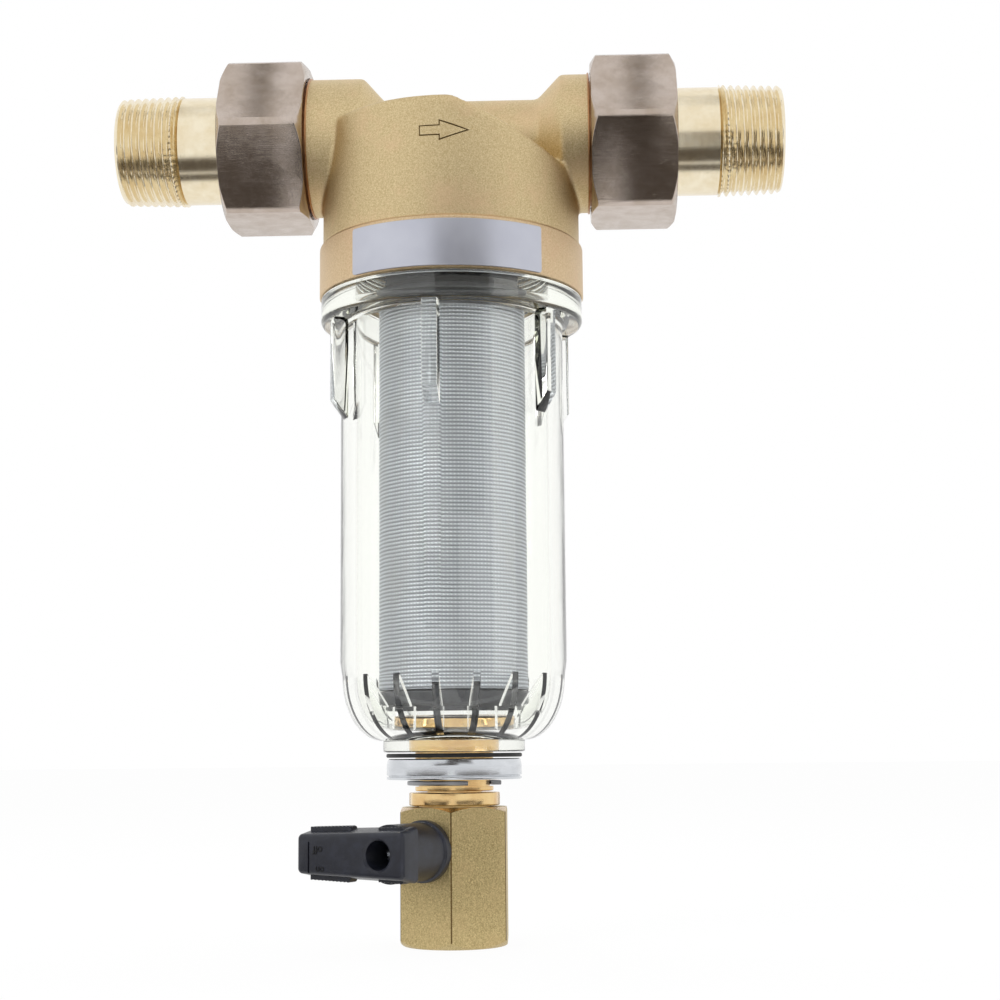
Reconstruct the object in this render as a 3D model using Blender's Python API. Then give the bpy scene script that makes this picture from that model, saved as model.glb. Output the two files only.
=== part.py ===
"""Rinsable fine filter for a DN20 water line.

A cast head carries two union tailpieces on one line, along X. A clear bowl
screws into the head from below, along Z, with a mesh insert inside it and a
ball valve under it that rinses the dirt out.

The origin is where the pipe axis meets the bowl axis. Sizes below are in
millimetres, and MM turns them into Blender's metres.
"""

from math import cos, pi, radians, sin, sqrt, tan

import bmesh
import bpy
from mathutils import Matrix, Vector

MM = 0.001

# Clearances
SEAT_GAP = 0.3           # between pieces that touch or run in each other
CUT = 1.0                # how far a cutter runs past the face that it opens
EDGE = 0.5               # usual small chamfer
CREASE_ANGLE = 32.0      # degrees, between facets that shade as a sharp edge

# Facets round a turned piece
FINE_SIDES = 36
MEDIUM_SIDES = 24
SMALL_SIDES = 16
RING_SIDES = 6           # round the section of a seal ring
ROUND_STEPS = 4          # facets in a quarter of a rounded edge
DOME_FACETS = 5          # and of the bowl's bottom
RIB_ROOT_STEPS = 4
LEVER_CORNER_STEPS = 3
SEAT_STEPS = 4
WHOLE_TURN = 360.0       # degrees
BALL_STEPS = 10          # facets from pole to pole

# Union tailpieces, R 3/4
TAIL_BORE_R = 10.0
TAIL_WALL = 3.22         # at the thread's large end
TAIL_LENGTH = 31.9       # over flange and thread
TAIL_RELIEF = 0.47       # the plain part is this much thinner than the thread
TAIL_THREAD_LENGTH = 14.7
TAIL_TAPER = 1 / 32      # radius per length
TAIL_END_CHAMFER = 0.6
TAIL_FLANGE_STEP = 2.15
TAIL_FLANGE_T = 3.0
GASKET_T = 1.5
GASKET_STEP = 0.3        # the seal is this much narrower than the flange
GASKET_HOLE_STEP = 0.4   # and its hole this much wider than the bore

# Union nuts, for a G 1 spigot
SPIGOT_STEP = 0.9        # from the tail's flange to the thread's mean radius
NUT_WALL = 2.7           # from that radius to the flats
NUT_LENGTH = 20.0
NUT_LIP_T = 3.2
NUT_CORNER_FLAT = 2.1
NUT_CHAMFER_STEP = 0.5   # the end faces are this much wider than the flats
NUT_CHAMFER_LENGTH = 1.6
NUT_MOUTH = 0.8

# Bowl
BOWL_BORE_R = 22.5
BOWL_WALL = 3.7
BOWL_FLOOR_T = 5.1
BOWL_TURN = -6.5         # degrees, where the thread happens to stop
NECK_WALL = 4.9          # out to the mean radius of the bowl's thread
NECK_HEIGHT = 14.6       # above the flange
NECK_MOUTH = 0.8
FLANGE_STEP = 0.3        # the flange is this much narrower than the head
FLANGE_T = 6.1
FLANGE_ROUND = 1.8
FLANGE_FILLET = 1.2
FLANGE_EDGE = 0.4
DOME_HEIGHT = 12.0       # from the floor to where the wall starts to curve in
DOME_LEAD = 3.5          # height of the first slight taper
DOME_STEP = 0.5
FOOT_WALL = 5.6
FOOT_HEIGHT = 2.6
FLOOR_MARGIN = 1.2       # from the bush's flange to the floor's curve
BOWL_SEAL_SECTION = 2.2
BOWL_SEAL_DROP = 4.5     # below the top of the neck

# Wrench lugs outside the bowl and ribs inside its bottom
LUG_COUNT = 6
LUG_DEPTH = 3.3
LUG_WIDTH = 3.6
LUG_LENGTH = 19.3        # down the outer edge
LUG_RUN_OUT = 4.3        # height over which the lug slants back to the wall
RIB_COUNT = 16
RIB_WIDTH = 1.5
RIB_LEAD = 0.5           # the ribs start this far above the curve
RIB_ROOT = 1.2           # and end this far in the floor

# Cast head
HEAD_WALL = 4.5          # round the chamber
HEAD_RISE = 2.0          # top face above the pipe axis
HEAD_DEPTH = 38.3        # lower rim below the pipe axis
HEAD_EDGE_ROUND = 3.0
BAND_WALL = 3.6          # machined band round the bowl's thread
BAND_HEIGHT = 15.3
BAND_RUN_OUT = 1.5
SOCKET_STEP = 1.7        # the chamber is this much narrower than the thread
SOCKET_RELIEF = 1.0      # room above the bowl's neck
SHOULDER_RISE = 4.0      # from the neck's top to the chamber's shoulder
ROOF_WALL = 2.9          # between the passages and the chamber's roof
SLOPE_START_X = -2.0     # the top falls away to the right from here
SLOPE = 0.6
NECK_LENGTH = 2.8        # of each side neck, past the head's side
NECK_STEP = 0.6          # the necks are this much wider than the spigots
NECK_RING_STEP = 0.8
NECK_RING_W = 1.0
NECK_RING_EASE = 0.4
LEFT_SHOULDER_SET = 10.0     # the shoulders end this far inside the head's side
LEFT_SHOULDER_RUN = 5.1
RIGHT_SHOULDER_SET = 3.9
RIGHT_SHOULDER_RUN = 5.6
SHOULDER_ROUND = 0.8
PASSAGE_STEP = 1.4       # the water way is narrower than the tail's bore
CROSS_PIPE_WALL = 2.1
CENTRE_BORE_R = 8.0
CENTRE_BOSS_WALL = 4.0   # the insert hangs on this boss
CENTRE_BOSS_RECESS = 4.3
INLET_WALL = 0.5         # between the boss and the way down to the chamber
WAY_TOP_Z = 1.5          # the upright ways end here, inside the level ones

# Rating label, bare
LABEL_T = 0.4
LABEL_HEIGHT = 10.7
LABEL_ARC = 83.6         # degrees
LABEL_TURN = 1.0         # degrees, to the right of the front
LABEL_STEPS = 16

# Filter insert
MESH_R = 17.3
MESH_T = 0.4
MESH_LENGTH = 89.5
MESH_DROP = 7.0          # below the end of the head's centre boss
COLLAR_HEIGHT = 9.0      # round the boss
COLLAR_WALL = 1.7
COLLAR_FOOT_T = 1.8
COLLAR_FOOT_TAPER = 1.6
COLLAR_NECK_T = 2.0
INSERT_SEAL_SECTION = 1.5
INSERT_SEAL_RISE = 4.0   # above the boss's end
SKIRT_LENGTH = 3.5
CAGE_T = 2.0
CAGE_RIB_COUNT = 8
CAGE_ROW_COUNT = 5       # of windows
CAGE_BAND = 4.0          # height of the cage's rings
CAP_LIP = 0.2
CAP_T = 3.1
CAP_FOOT_STEP = 1.5
CAP_FOOT_T = 1.3
CAP_CLEARANCE = 1.4      # above the drain bush

# Ball valve
VALVE_PORT_R = 4.3
BALL_WALL = 2.7          # from the port to the ball's surface
SEAT_STEP = 0.4          # the seats are this much wider than the ball
SEAT_RIM = 0.8
VALVE_WALL = 2.5
VALVE_THROAT = 2.9       # between the ball's cavity and the drain socket
VALVE_CORNER_FLAT = 0.9
VALVE_CHAMFER_STEP = 0.3
VALVE_CHAMFER_LENGTH = 0.9
SOCKET_R = 7.6
SOCKET_DEPTH = 11.0
SOCKET_MOUTH = 1.0
SOCKET_CONE = 1.2
STEM_TURN = -30.0        # degrees from the front, about Z
STEM_R = 3.5
STEM_SHOULDER_STEP = 1.0
STEM_SHOULDER_T = 1.5
STEM_BOSS_WALL = 1.4
STEM_BOSS_LENGTH = 5.5   # out from the valve's flat
STEM_BOSS_ROOT = 2.0     # and into the valve's wall
STEM_SQUARE_LENGTH = 4.5
STEM_SQUARE_EASE = 0.05  # keeps the square's corners inside the round
STEM_SEAL_SECTION = 1.0
STEM_SEAL_SET = 3.5      # inside the boss's end
TONGUE_T = 2.4
TONGUE_DEPTH = 1.7

# Drain fittings under the bowl
END_SPIGOT_WALL = 2.0
END_SPIGOT_LENGTH = 7.4
END_COLLAR_STEP = 2.2
END_COLLAR_T = 3.0
END_COLLAR_SIDES = 12    # small flats round the collar
END_BOSS_STEP = 0.8      # past the valve seats
END_BOSS_T = 2.2
BUSH_WALL = 2.4
BUSH_BORE_STEP = 0.9     # past the valve's port
BUSH_MOUTH = 0.8
BUSH_NECK_STEP = 1.4
BUSH_FLANGE_STEP = 3.6
BUSH_FLANGE_T = 2.6
BUSH_LIP_T = 1.0
BUSH_SEAL_SECTION = 1.8
BUSH_SEAL_DROP = 2.7     # below the bowl's floor
DRAIN_WASHER_T = 0.9
DRAIN_WASHER_STEP = 0.6  # inside the bowl's foot
STEEL_RING_STEP = 0.1
STEEL_RING_T = 4.7
STEEL_RING_LIP = 1.0
STEEL_RING_GROOVE = 0.2
RETAINER_T = 1.0
RETAINER_STEP = 1.8      # past the bush
RETAINER_GROOVE_DEPTH = 0.8
RETAINER_OPENING_ARC = 65.0  # degrees
RETAINER_TURN = 52.5     # degrees, where the middle of the opening is
RETAINER_STEPS = 26

# Lever
HUB_WALL = 0.9
HUB_RING_STEP = 0.5
HUB_RING_T = 2.2
HUB_RING_EASE = 0.3
LEVER_WEB_T = 1.0        # under the screw's head
LEVER_WEB_SET = 2.3      # from the web to the back of the arm
LEVER_T = 5.9
LEVER_HEEL = 7.0         # behind the stem axis
LEVER_REACH = 21.6       # from the stem axis to the tip
LEVER_HEIGHT = 10.2
LEVER_TIP_HEIGHT = 8.7
LEVER_ROUND = 1.2
LEVER_FLARE = 0.9        # the arm is this much wider each side at its back
LEVER_BACK_EDGE = 0.3
LEVER_FRONT_EDGE = 0.7
SCREW_WELL_EASE = 0.5
GRIP_RISE = 0.9
GRIP_TIP_RISE = 0.54
GRIP_LENGTH = 11.0
GRIP_DEPTH = 2.5
GRIP_SET = 0.5           # in front of the arm's back
GRIP_TIP_SET = 1.6       # from the lever's tip
GRIP_ROOT = 1.0
GRIP_RUN_OUT = 1.2
SCREW_R = 1.25
SCREW_GRIP = 5.2         # length in the stem
SCREW_HEAD_R = 2.7
SCREW_HEAD_T = 1.8
SCREW_HEAD_WALL = 0.7
SCREW_DOME_RISE = 0.4
SCREW_FLAT_R = 1.4
SCREW_POINT = 0.6
SCREW_POINT_STEP = 0.4
RECESS_DEPTH = 1.1
RECESS_WIDTH = 0.7
RECESS_REACH = 1.6       # of each blade of the cross, from the middle

# Radii that follow, from the tailpieces' bore
TAIL_THREAD_R = TAIL_BORE_R + TAIL_WALL
TAIL_R = TAIL_THREAD_R - TAIL_RELIEF
TAIL_FLANGE_R = TAIL_R + TAIL_FLANGE_STEP
SPIGOT_R = TAIL_FLANGE_R + SPIGOT_STEP
NECK_R = SPIGOT_R + NECK_STEP
NECK_RING_R = NECK_R + NECK_RING_STEP
NUT_FLATS = 2 * (SPIGOT_R + NUT_WALL)
PASSAGE_R = TAIL_BORE_R - PASSAGE_STEP
CROSS_PIPE_R = PASSAGE_R + CROSS_PIPE_WALL

# Radii that follow, from the bowl's bore
BOWL_R = BOWL_BORE_R + BOWL_WALL
NECK_THREAD_R = BOWL_BORE_R + NECK_WALL
SOCKET_WALL_R = NECK_THREAD_R + SEAT_GAP
CHAMBER_R = SOCKET_WALL_R - SOCKET_STEP
HEAD_R = CHAMBER_R + HEAD_WALL
BAND_R = SOCKET_WALL_R + BAND_WALL
FLANGE_R = BAND_R - FLANGE_STEP
LUG_R = BOWL_R + LUG_DEPTH
DOME_R = BOWL_R - DOME_STEP

# Radii that follow, from the head's centre bore and the mesh
CENTRE_BOSS_R = CENTRE_BORE_R + CENTRE_BOSS_WALL
INLET_END_X = -CENTRE_BOSS_R
INLET_DROP_X = -(CENTRE_BOSS_R + CHAMBER_R) / 2
INLET_DROP_R = (CHAMBER_R - CENTRE_BOSS_R) / 2 - INLET_WALL
COLLAR_BORE_R = CENTRE_BOSS_R + SEAT_GAP
CAGE_R = MESH_R - MESH_T - SEAT_GAP
CAP_R = MESH_R + CAP_LIP
CAP_FOOT_R = CAP_R - CAP_FOOT_STEP
SKIRT_R = CAGE_R - CAGE_T - SEAT_GAP
SKIRT_HOLE_R = SKIRT_R - COLLAR_WALL

# Radii that follow, from the valve's port
BALL_R = VALVE_PORT_R + BALL_WALL
SEAT_R = BALL_R + SEAT_STEP
CAVITY_R = SEAT_R + SEAT_GAP
END_BOSS_R = SEAT_R + END_BOSS_STEP
END_COLLAR_R = END_BOSS_R + END_COLLAR_STEP
END_SPIGOT_R = VALVE_PORT_R + END_SPIGOT_WALL
VALVE_FLATS = 2 * (END_BOSS_R + SEAT_GAP + VALVE_WALL)
BUSH_BORE_R = VALVE_PORT_R + BUSH_BORE_STEP
BUSH_R = END_SPIGOT_R + SEAT_GAP + BUSH_WALL
BUSH_NECK_R = BUSH_R + BUSH_NECK_STEP
BUSH_FLANGE_R = BUSH_NECK_R + BUSH_FLANGE_STEP
BOWL_HOLE_R = BUSH_NECK_R + SEAT_GAP
BOWL_FOOT_R = BOWL_HOLE_R + FOOT_WALL
DRAIN_WASHER_R = BOWL_FOOT_R - DRAIN_WASHER_STEP
STEEL_RING_R = DRAIN_WASHER_R - STEEL_RING_STEP
RETAINER_R = BUSH_R + RETAINER_STEP
RETAINER_GROOVE_R = BUSH_R - RETAINER_GROOVE_DEPTH

# Distances along the pipe that follow, from the head's side outwards
NECK_END = HEAD_R + NECK_LENGTH
NUT_INNER = NECK_END + SEAT_GAP
NUT_OUTER = NUT_INNER + NUT_LENGTH
LIP_FACE = NUT_OUTER - NUT_LIP_T
FLANGE_FACE = LIP_FACE - SEAT_GAP - TAIL_FLANGE_T
GASKET_FACE = FLANGE_FACE - SEAT_GAP - GASKET_T
SPIGOT_FACE = GASKET_FACE - SEAT_GAP
TAIL_END = FLANGE_FACE + TAIL_LENGTH
LEFT_SHOULDER_OUTER = HEAD_R - LEFT_SHOULDER_SET
LEFT_SHOULDER_INNER = LEFT_SHOULDER_OUTER - LEFT_SHOULDER_RUN
RIGHT_SHOULDER_OUTER = HEAD_R - RIGHT_SHOULDER_SET
RIGHT_SHOULDER_INNER = RIGHT_SHOULDER_OUTER - RIGHT_SHOULDER_RUN

# Heights that follow, from the pipe axis down
HEAD_TOP_Z = HEAD_RISE
HEAD_BOTTOM_Z = -HEAD_DEPTH
BAND_TOP_Z = HEAD_BOTTOM_Z + BAND_HEIGHT
LABEL_BOTTOM_Z = HEAD_BOTTOM_Z + SEAT_GAP
LABEL_TOP_Z = LABEL_BOTTOM_Z + LABEL_HEIGHT
FLANGE_TOP_Z = HEAD_BOTTOM_Z - SEAT_GAP
FLANGE_BOTTOM_Z = FLANGE_TOP_Z - FLANGE_T
BOWL_NECK_TOP_Z = FLANGE_TOP_Z + NECK_HEIGHT
BOWL_SEAL_Z = BOWL_NECK_TOP_Z - BOWL_SEAL_DROP
CHAMBER_SHOULDER_Z = BOWL_NECK_TOP_Z + SHOULDER_RISE
CHAMBER_ROOF_Z = -PASSAGE_R - ROOF_WALL
CENTRE_BOSS_END_Z = HEAD_BOTTOM_Z + CENTRE_BOSS_RECESS
COLLAR_TOP_Z = CENTRE_BOSS_END_Z + COLLAR_HEIGHT
INSERT_SEAL_Z = CENTRE_BOSS_END_Z + INSERT_SEAL_RISE
MESH_TOP_Z = CENTRE_BOSS_END_Z - MESH_DROP
MESH_BOTTOM_Z = MESH_TOP_Z - MESH_LENGTH
CAP_TOP_Z = MESH_BOTTOM_Z - SEAT_GAP
CAP_RIM_Z = CAP_TOP_Z - CAP_T
CAP_FOOT_Z = CAP_RIM_Z - CAP_FOOT_T
BUSH_TOP_Z = CAP_FOOT_Z - CAP_CLEARANCE
BOWL_FLOOR_Z = BUSH_TOP_Z - BUSH_FLANGE_T - SEAT_GAP
DOME_TOP_Z = BOWL_FLOOR_Z + DOME_HEIGHT
BOWL_FOOT_Z = BOWL_FLOOR_Z - BOWL_FLOOR_T
BUSH_SEAL_Z = BOWL_FLOOR_Z - BUSH_SEAL_DROP
WASHER_TOP_Z = BOWL_FOOT_Z - SEAT_GAP
STEEL_RING_TOP_Z = WASHER_TOP_Z - DRAIN_WASHER_T - SEAT_GAP
STEEL_RING_BOTTOM_Z = STEEL_RING_TOP_Z - STEEL_RING_T
RETAINER_TOP_Z = STEEL_RING_BOTTOM_Z - SEAT_GAP
RETAINER_BOTTOM_Z = RETAINER_TOP_Z - RETAINER_T
BUSH_END_Z = RETAINER_BOTTOM_Z - SEAT_GAP - BUSH_LIP_T
END_SPIGOT_TOP_Z = BUSH_END_Z + END_SPIGOT_LENGTH
END_COLLAR_TOP_Z = BUSH_END_Z - SEAT_GAP
END_COLLAR_BOTTOM_Z = END_COLLAR_TOP_Z - END_COLLAR_T
VALVE_TOP_Z = END_COLLAR_BOTTOM_Z - SEAT_GAP
END_BOSS_BOTTOM_Z = END_COLLAR_BOTTOM_Z - END_BOSS_T
SEAT_TOP_Z = END_BOSS_BOTTOM_Z - SEAT_GAP
SEAT_DEPTH = BALL_R + SEAT_GAP
SEAT_LOW = sqrt((BALL_R + SEAT_GAP) ** 2 - (SEAT_R - SEAT_RIM) ** 2)
VALVE_Z = SEAT_TOP_Z - SEAT_DEPTH
CAVITY_BOTTOM_Z = VALVE_Z - SEAT_DEPTH - SEAT_GAP
SOCKET_TOP_Z = CAVITY_BOTTOM_Z - VALVE_THROAT
VALVE_BOTTOM_Z = SOCKET_TOP_Z - SOCKET_DEPTH

# Lever and stem; distances called D run out from the bowl's axis
STEM_SHOULDER_R = STEM_R + STEM_SHOULDER_STEP
STEM_BOSS_R = STEM_R + SEAT_GAP + STEM_BOSS_WALL
STEM_SQUARE = STEM_R * sqrt(2) - STEM_SQUARE_EASE
STEM_SHOULDER_D = CAVITY_R
TONGUE_LENGTH = 2 * (SEAT_LOW - SEAT_GAP)
STEM_BOSS_END_D = VALVE_FLATS / 2 + STEM_BOSS_LENGTH
STEM_END_D = STEM_BOSS_END_D + STEM_SQUARE_LENGTH
STEM_SEAL_D = STEM_BOSS_END_D - STEM_SEAL_SET
HUB_START_D = VALVE_FLATS / 2 + SEAT_GAP
HUB_RING_END_D = HUB_START_D + HUB_RING_T
HUB_R = STEM_BOSS_R + SEAT_GAP + HUB_WALL
HUB_RING_R = HUB_R + HUB_RING_STEP
LEVER_WEB_D = STEM_END_D + SEAT_GAP + LEVER_WEB_T
LEVER_BACK_D = LEVER_WEB_D + LEVER_WEB_SET
LEVER_FRONT_D = LEVER_BACK_D + LEVER_T
SCREW_END_D = STEM_END_D - SCREW_GRIP
SCREW_WELL_R = SCREW_HEAD_R + SCREW_WELL_EASE


def clear_scene():
    for old in list(bpy.data.objects):
        bpy.data.objects.remove(old)


def make_material(name, colour, roughness, metallic, alpha=1.0):
    made = bpy.data.materials.new(name)
    made.use_nodes = True
    shader = made.node_tree.nodes["Principled BSDF"]
    shader.inputs["Base Color"].default_value = (*colour, 1.0)
    shader.inputs["Roughness"].default_value = roughness
    shader.inputs["Metallic"].default_value = metallic
    shader.inputs["Transmission Weight"].default_value = 1.0 - alpha
    return made


def brass_cast():
    return make_material("cast_brass", (0.55, 0.40, 0.20), 0.60, 0.9)


def brass_polished():
    return make_material("polished_brass", (0.85, 0.66, 0.38), 0.18, 1.0)


def brass_dark():
    return make_material("dark_brass", (0.24, 0.16, 0.10), 0.45, 0.9)


def clear_plastic():
    return make_material("clear_plastic", (0.96, 0.98, 0.88), 0.03, 0.0, 0.1)


def stainless():
    return make_material("stainless", (0.62, 0.63, 0.64), 0.28, 1.0)


def black_plastic():
    return make_material("black_plastic", (0.02, 0.02, 0.025), 0.35, 0.0)


def rubber():
    return make_material("rubber", (0.015, 0.015, 0.015), 0.65, 0.0)


def fibre():
    return make_material("fibre", (0.35, 0.30, 0.24), 0.80, 0.0)


def white_plastic():
    return make_material("white_plastic", (0.86, 0.86, 0.83), 0.40, 0.0)


def dark_plastic():
    return make_material("dark_plastic", (0.10, 0.10, 0.11), 0.45, 0.0)


def foil():
    return make_material("foil", (0.66, 0.65, 0.72), 0.35, 0.5)


def make_axis(name, matrix):
    """An empty whose local Z is a joint's axis."""
    axis = bpy.data.objects.new(name, None)
    axis.matrix_world = matrix
    bpy.context.collection.objects.link(axis)
    return axis


def add_object(name, mesh_edit, made=None, parent=None):
    """Turn an edit mesh in millimetres into an object in metres."""
    bmesh.ops.remove_doubles(mesh_edit, verts=mesh_edit.verts, dist=1e-5)
    bmesh.ops.recalc_face_normals(mesh_edit, faces=mesh_edit.faces)
    bmesh.ops.scale(mesh_edit, vec=(MM, MM, MM), verts=mesh_edit.verts)
    mesh = bpy.data.meshes.new(name)
    mesh_edit.to_mesh(mesh)
    mesh_edit.free()
    mesh.shade_smooth()
    mesh.set_sharp_from_angle(angle=radians(CREASE_ANGLE))
    added = bpy.data.objects.new(name, mesh)
    added.parent = parent
    if made is not None:
        mesh.materials.append(made)
    bpy.context.collection.objects.link(added)
    return added


def make_tool(added):
    """Mark an object as a cutter or a piece to be joined, not a node."""
    added.hide_render = True
    added.display_type = "WIRE"
    return added


def boolean(target, tool, operation):
    change = target.modifiers.new(tool.name, "BOOLEAN")
    change.operation = operation
    change.object = make_tool(tool)
    change.solver = "EXACT"


def cut(target, tool):
    boolean(target, tool, "DIFFERENCE")


def join(target, tool):
    boolean(target, tool, "UNION")


def keep_inside(target, tool):
    boolean(target, tool, "INTERSECT")


def turned_mesh(profile, sides, turn=0.0):
    """Turn a closed outline of (radius, height) points about local Z."""
    made = bmesh.new()
    rings = []
    for radius, height in profile:
        if radius < 1e-6:
            rings.append([made.verts.new((0.0, 0.0, height))] * sides)
            continue
        ring = []
        for i in range(sides):
            angle = turn + 2 * pi * i / sides
            ring.append(made.verts.new((radius * cos(angle), radius * sin(angle), height)))
        rings.append(ring)
    for k, ring in enumerate(rings):
        below = rings[(k + 1) % len(rings)]
        for i in range(sides):
            j = (i + 1) % sides
            corners = []
            for corner in (ring[i], ring[j], below[j], below[i]):
                if corner not in corners:
                    corners.append(corner)
            if len(corners) > 2:
                made.faces.new(corners)
    return made


def turned(name, profile, sides, made=None, parent=None):
    return add_object(name, turned_mesh(profile, sides), made, parent)


def rod_profile(radius, low, high):
    return [(0.0, low), (radius, low), (radius, high), (0.0, high)]


def tube_profile(inner, outer, low, high):
    return [(inner, low), (outer, low), (outer, high), (inner, high)]


def ring_profile(centre_radius, height, section):
    """Round section of a seal ring."""
    points = []
    for i in range(RING_SIDES):
        angle = 2 * pi * i / RING_SIDES
        points.append((centre_radius + section / 2 * cos(angle), height + section / 2 * sin(angle)))
    return points


def prism_mesh(outline, low, high):
    """Extrude an outline of (x, y) points from low to high along local Z."""
    made = bmesh.new()
    bottom = [made.verts.new((x, y, low)) for x, y in outline]
    base = made.faces.new(bottom)
    grown = bmesh.ops.extrude_face_region(made, geom=[base])
    top = [item for item in grown["geom"] if isinstance(item, bmesh.types.BMVert)]
    bmesh.ops.translate(made, vec=(0.0, 0.0, high - low), verts=top)
    return made


def box_mesh(low, high):
    outline = [(low[0], low[1]), (high[0], low[1]), (high[0], high[1]), (low[0], high[1])]
    return prism_mesh(outline, low[2], high[2])


def hexagon(across_flats, corner_flat):
    """Hexagon with a corner on +X, its corners cut to small flats."""
    corner = across_flats / sqrt(3)
    back = corner - corner_flat / 2 * tan(radians(30))
    points = []
    for i in range(6):
        middle = radians(60 * i)
        for side in (-1, 1):
            along = side * corner_flat / 2
            points.append((back * cos(middle) - along * sin(middle),
                           back * sin(middle) + along * cos(middle)))
    return points


def chamfered_hexagon(name, flats, corner_flat, low, high, end_radius, end_length, made, parent):
    """Hexagonal bar with both ends turned down to a cone."""
    block = add_object(name, prism_mesh(hexagon(flats, corner_flat), low, high), made, parent)
    corner = flats / sqrt(3)
    slope = end_length / (corner - end_radius)
    reach = corner + CUT
    tall = (reach - end_radius) * slope
    tip = end_radius - CUT / slope
    blank = [(0.0, low - CUT), (tip, low - CUT), (reach, low + tall), (reach, high - tall),
             (tip, high + CUT), (0.0, high + CUT)]
    keep_inside(block, turned(name + "_blank", blank, FINE_SIDES, parent=parent))
    return block


def head_body():
    """Cup of the head, with a rounded top edge and the wider machined band."""
    profile = [(0.0, HEAD_BOTTOM_Z), (BAND_R, HEAD_BOTTOM_Z), (BAND_R, BAND_TOP_Z)]
    profile.append((HEAD_R, BAND_TOP_Z + BAND_RUN_OUT))
    for i in range(ROUND_STEPS + 1):
        angle = pi / 2 * i / ROUND_STEPS
        profile.append((HEAD_R - HEAD_EDGE_ROUND * (1 - cos(angle)),
                        HEAD_TOP_Z - HEAD_EDGE_ROUND * (1 - sin(angle))))
    profile.append((0.0, HEAD_TOP_Z))
    cup = turned("housing", profile, FINE_SIDES, brass_cast())
    fall = 2 * HEAD_R
    wedge = prism_mesh([(SLOPE_START_X, HEAD_TOP_Z), (SLOPE_START_X + fall, HEAD_TOP_Z - SLOPE * fall),
                        (SLOPE_START_X + fall, HEAD_TOP_Z + fall), (SLOPE_START_X, HEAD_TOP_Z + fall)],
                       -fall, fall)
    bmesh.ops.rotate(wedge, matrix=Matrix.Rotation(radians(90), 3, "X"), verts=wedge.verts)
    cut(cup, add_object("head_slope", wedge))
    return cup


def head_pipe(axis):
    """Cross pipe, shoulders, necks and spigots, turned about the pipe axis."""
    left = [(0.0, -SPIGOT_FACE), (SPIGOT_R, -SPIGOT_FACE), (SPIGOT_R, -NECK_END),
            (NECK_RING_R, -NECK_END), (NECK_RING_R, -NECK_END + NECK_RING_W),
            (NECK_R, -NECK_END + NECK_RING_W + NECK_RING_EASE),
            (NECK_R, -LEFT_SHOULDER_OUTER - SHOULDER_ROUND),
            (NECK_R - SHOULDER_ROUND, -LEFT_SHOULDER_OUTER),
            (CROSS_PIPE_R + SHOULDER_ROUND, -LEFT_SHOULDER_INNER - SHOULDER_ROUND),
            (CROSS_PIPE_R, -LEFT_SHOULDER_INNER)]
    right = [(CROSS_PIPE_R, RIGHT_SHOULDER_INNER),
             (CROSS_PIPE_R + SHOULDER_ROUND, RIGHT_SHOULDER_INNER + SHOULDER_ROUND),
             (NECK_R - SHOULDER_ROUND, RIGHT_SHOULDER_OUTER - SHOULDER_ROUND),
             (NECK_R, RIGHT_SHOULDER_OUTER),
             (NECK_R, NECK_END - NECK_RING_W - NECK_RING_EASE),
             (NECK_RING_R, NECK_END - NECK_RING_W), (NECK_RING_R, NECK_END),
             (SPIGOT_R, NECK_END), (SPIGOT_R, SPIGOT_FACE), (0.0, SPIGOT_FACE)]
    return turned("head_pipe", left + right, MEDIUM_SIDES, parent=axis)


def chamber_cutter():
    """Socket for the bowl's neck and the ring chamber round the centre boss."""
    return turned("chamber", [
        (CENTRE_BOSS_R, HEAD_BOTTOM_Z - CUT), (SOCKET_WALL_R, HEAD_BOTTOM_Z - CUT),
        (SOCKET_WALL_R, BOWL_NECK_TOP_Z + SOCKET_RELIEF),
        (CHAMBER_R, BOWL_NECK_TOP_Z + SOCKET_RELIEF),
        (CHAMBER_R, CHAMBER_SHOULDER_Z), (CENTRE_BOSS_R, CHAMBER_ROOF_Z)], FINE_SIDES)


def build_head(pipe_axis):
    """Casting with the inlet on the left, which drops into the chamber round the boss.

    Filtered water comes up the centre bore and leaves on the right.
    """
    head = head_body()
    join(head, head_pipe(pipe_axis))
    cut(head, chamber_cutter())
    cut(head, turned("boss_end", rod_profile(CENTRE_BOSS_R + CUT, HEAD_BOTTOM_Z - CUT,
                                             CENTRE_BOSS_END_Z), MEDIUM_SIDES))
    cut(head, turned("centre_bore", rod_profile(CENTRE_BORE_R, HEAD_BOTTOM_Z - CUT, WAY_TOP_Z),
                     MEDIUM_SIDES))
    cut(head, turned("inlet_way", rod_profile(PASSAGE_R, -SPIGOT_FACE - CUT, INLET_END_X),
                     SMALL_SIDES, parent=pipe_axis))
    cut(head, turned("outlet_way", rod_profile(PASSAGE_R, 0.0, SPIGOT_FACE + CUT),
                     SMALL_SIDES, parent=pipe_axis))
    drop_end = CHAMBER_SHOULDER_Z + EDGE
    drop = turned("inlet_drop", rod_profile(INLET_DROP_R, drop_end, WAY_TOP_Z), SMALL_SIDES)
    drop.location.x = INLET_DROP_X * MM
    cut(head, drop)
    return head


def arc_mesh(profile, start, sweep, steps):
    """Turn an outline about local Z through part of a circle, with flat ends."""
    made = bmesh.new()
    rows = []
    for i in range(steps + 1):
        angle = radians(start + sweep * i / steps)
        rows.append([made.verts.new((radius * cos(angle), radius * sin(angle), height))
                     for radius, height in profile])
    for before, after in zip(rows, rows[1:]):
        for k in range(len(profile)):
            n = (k + 1) % len(profile)
            made.faces.new((before[k], before[n], after[n], after[k]))
    made.faces.new(rows[0])
    made.faces.new(rows[-1])
    return made


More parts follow.
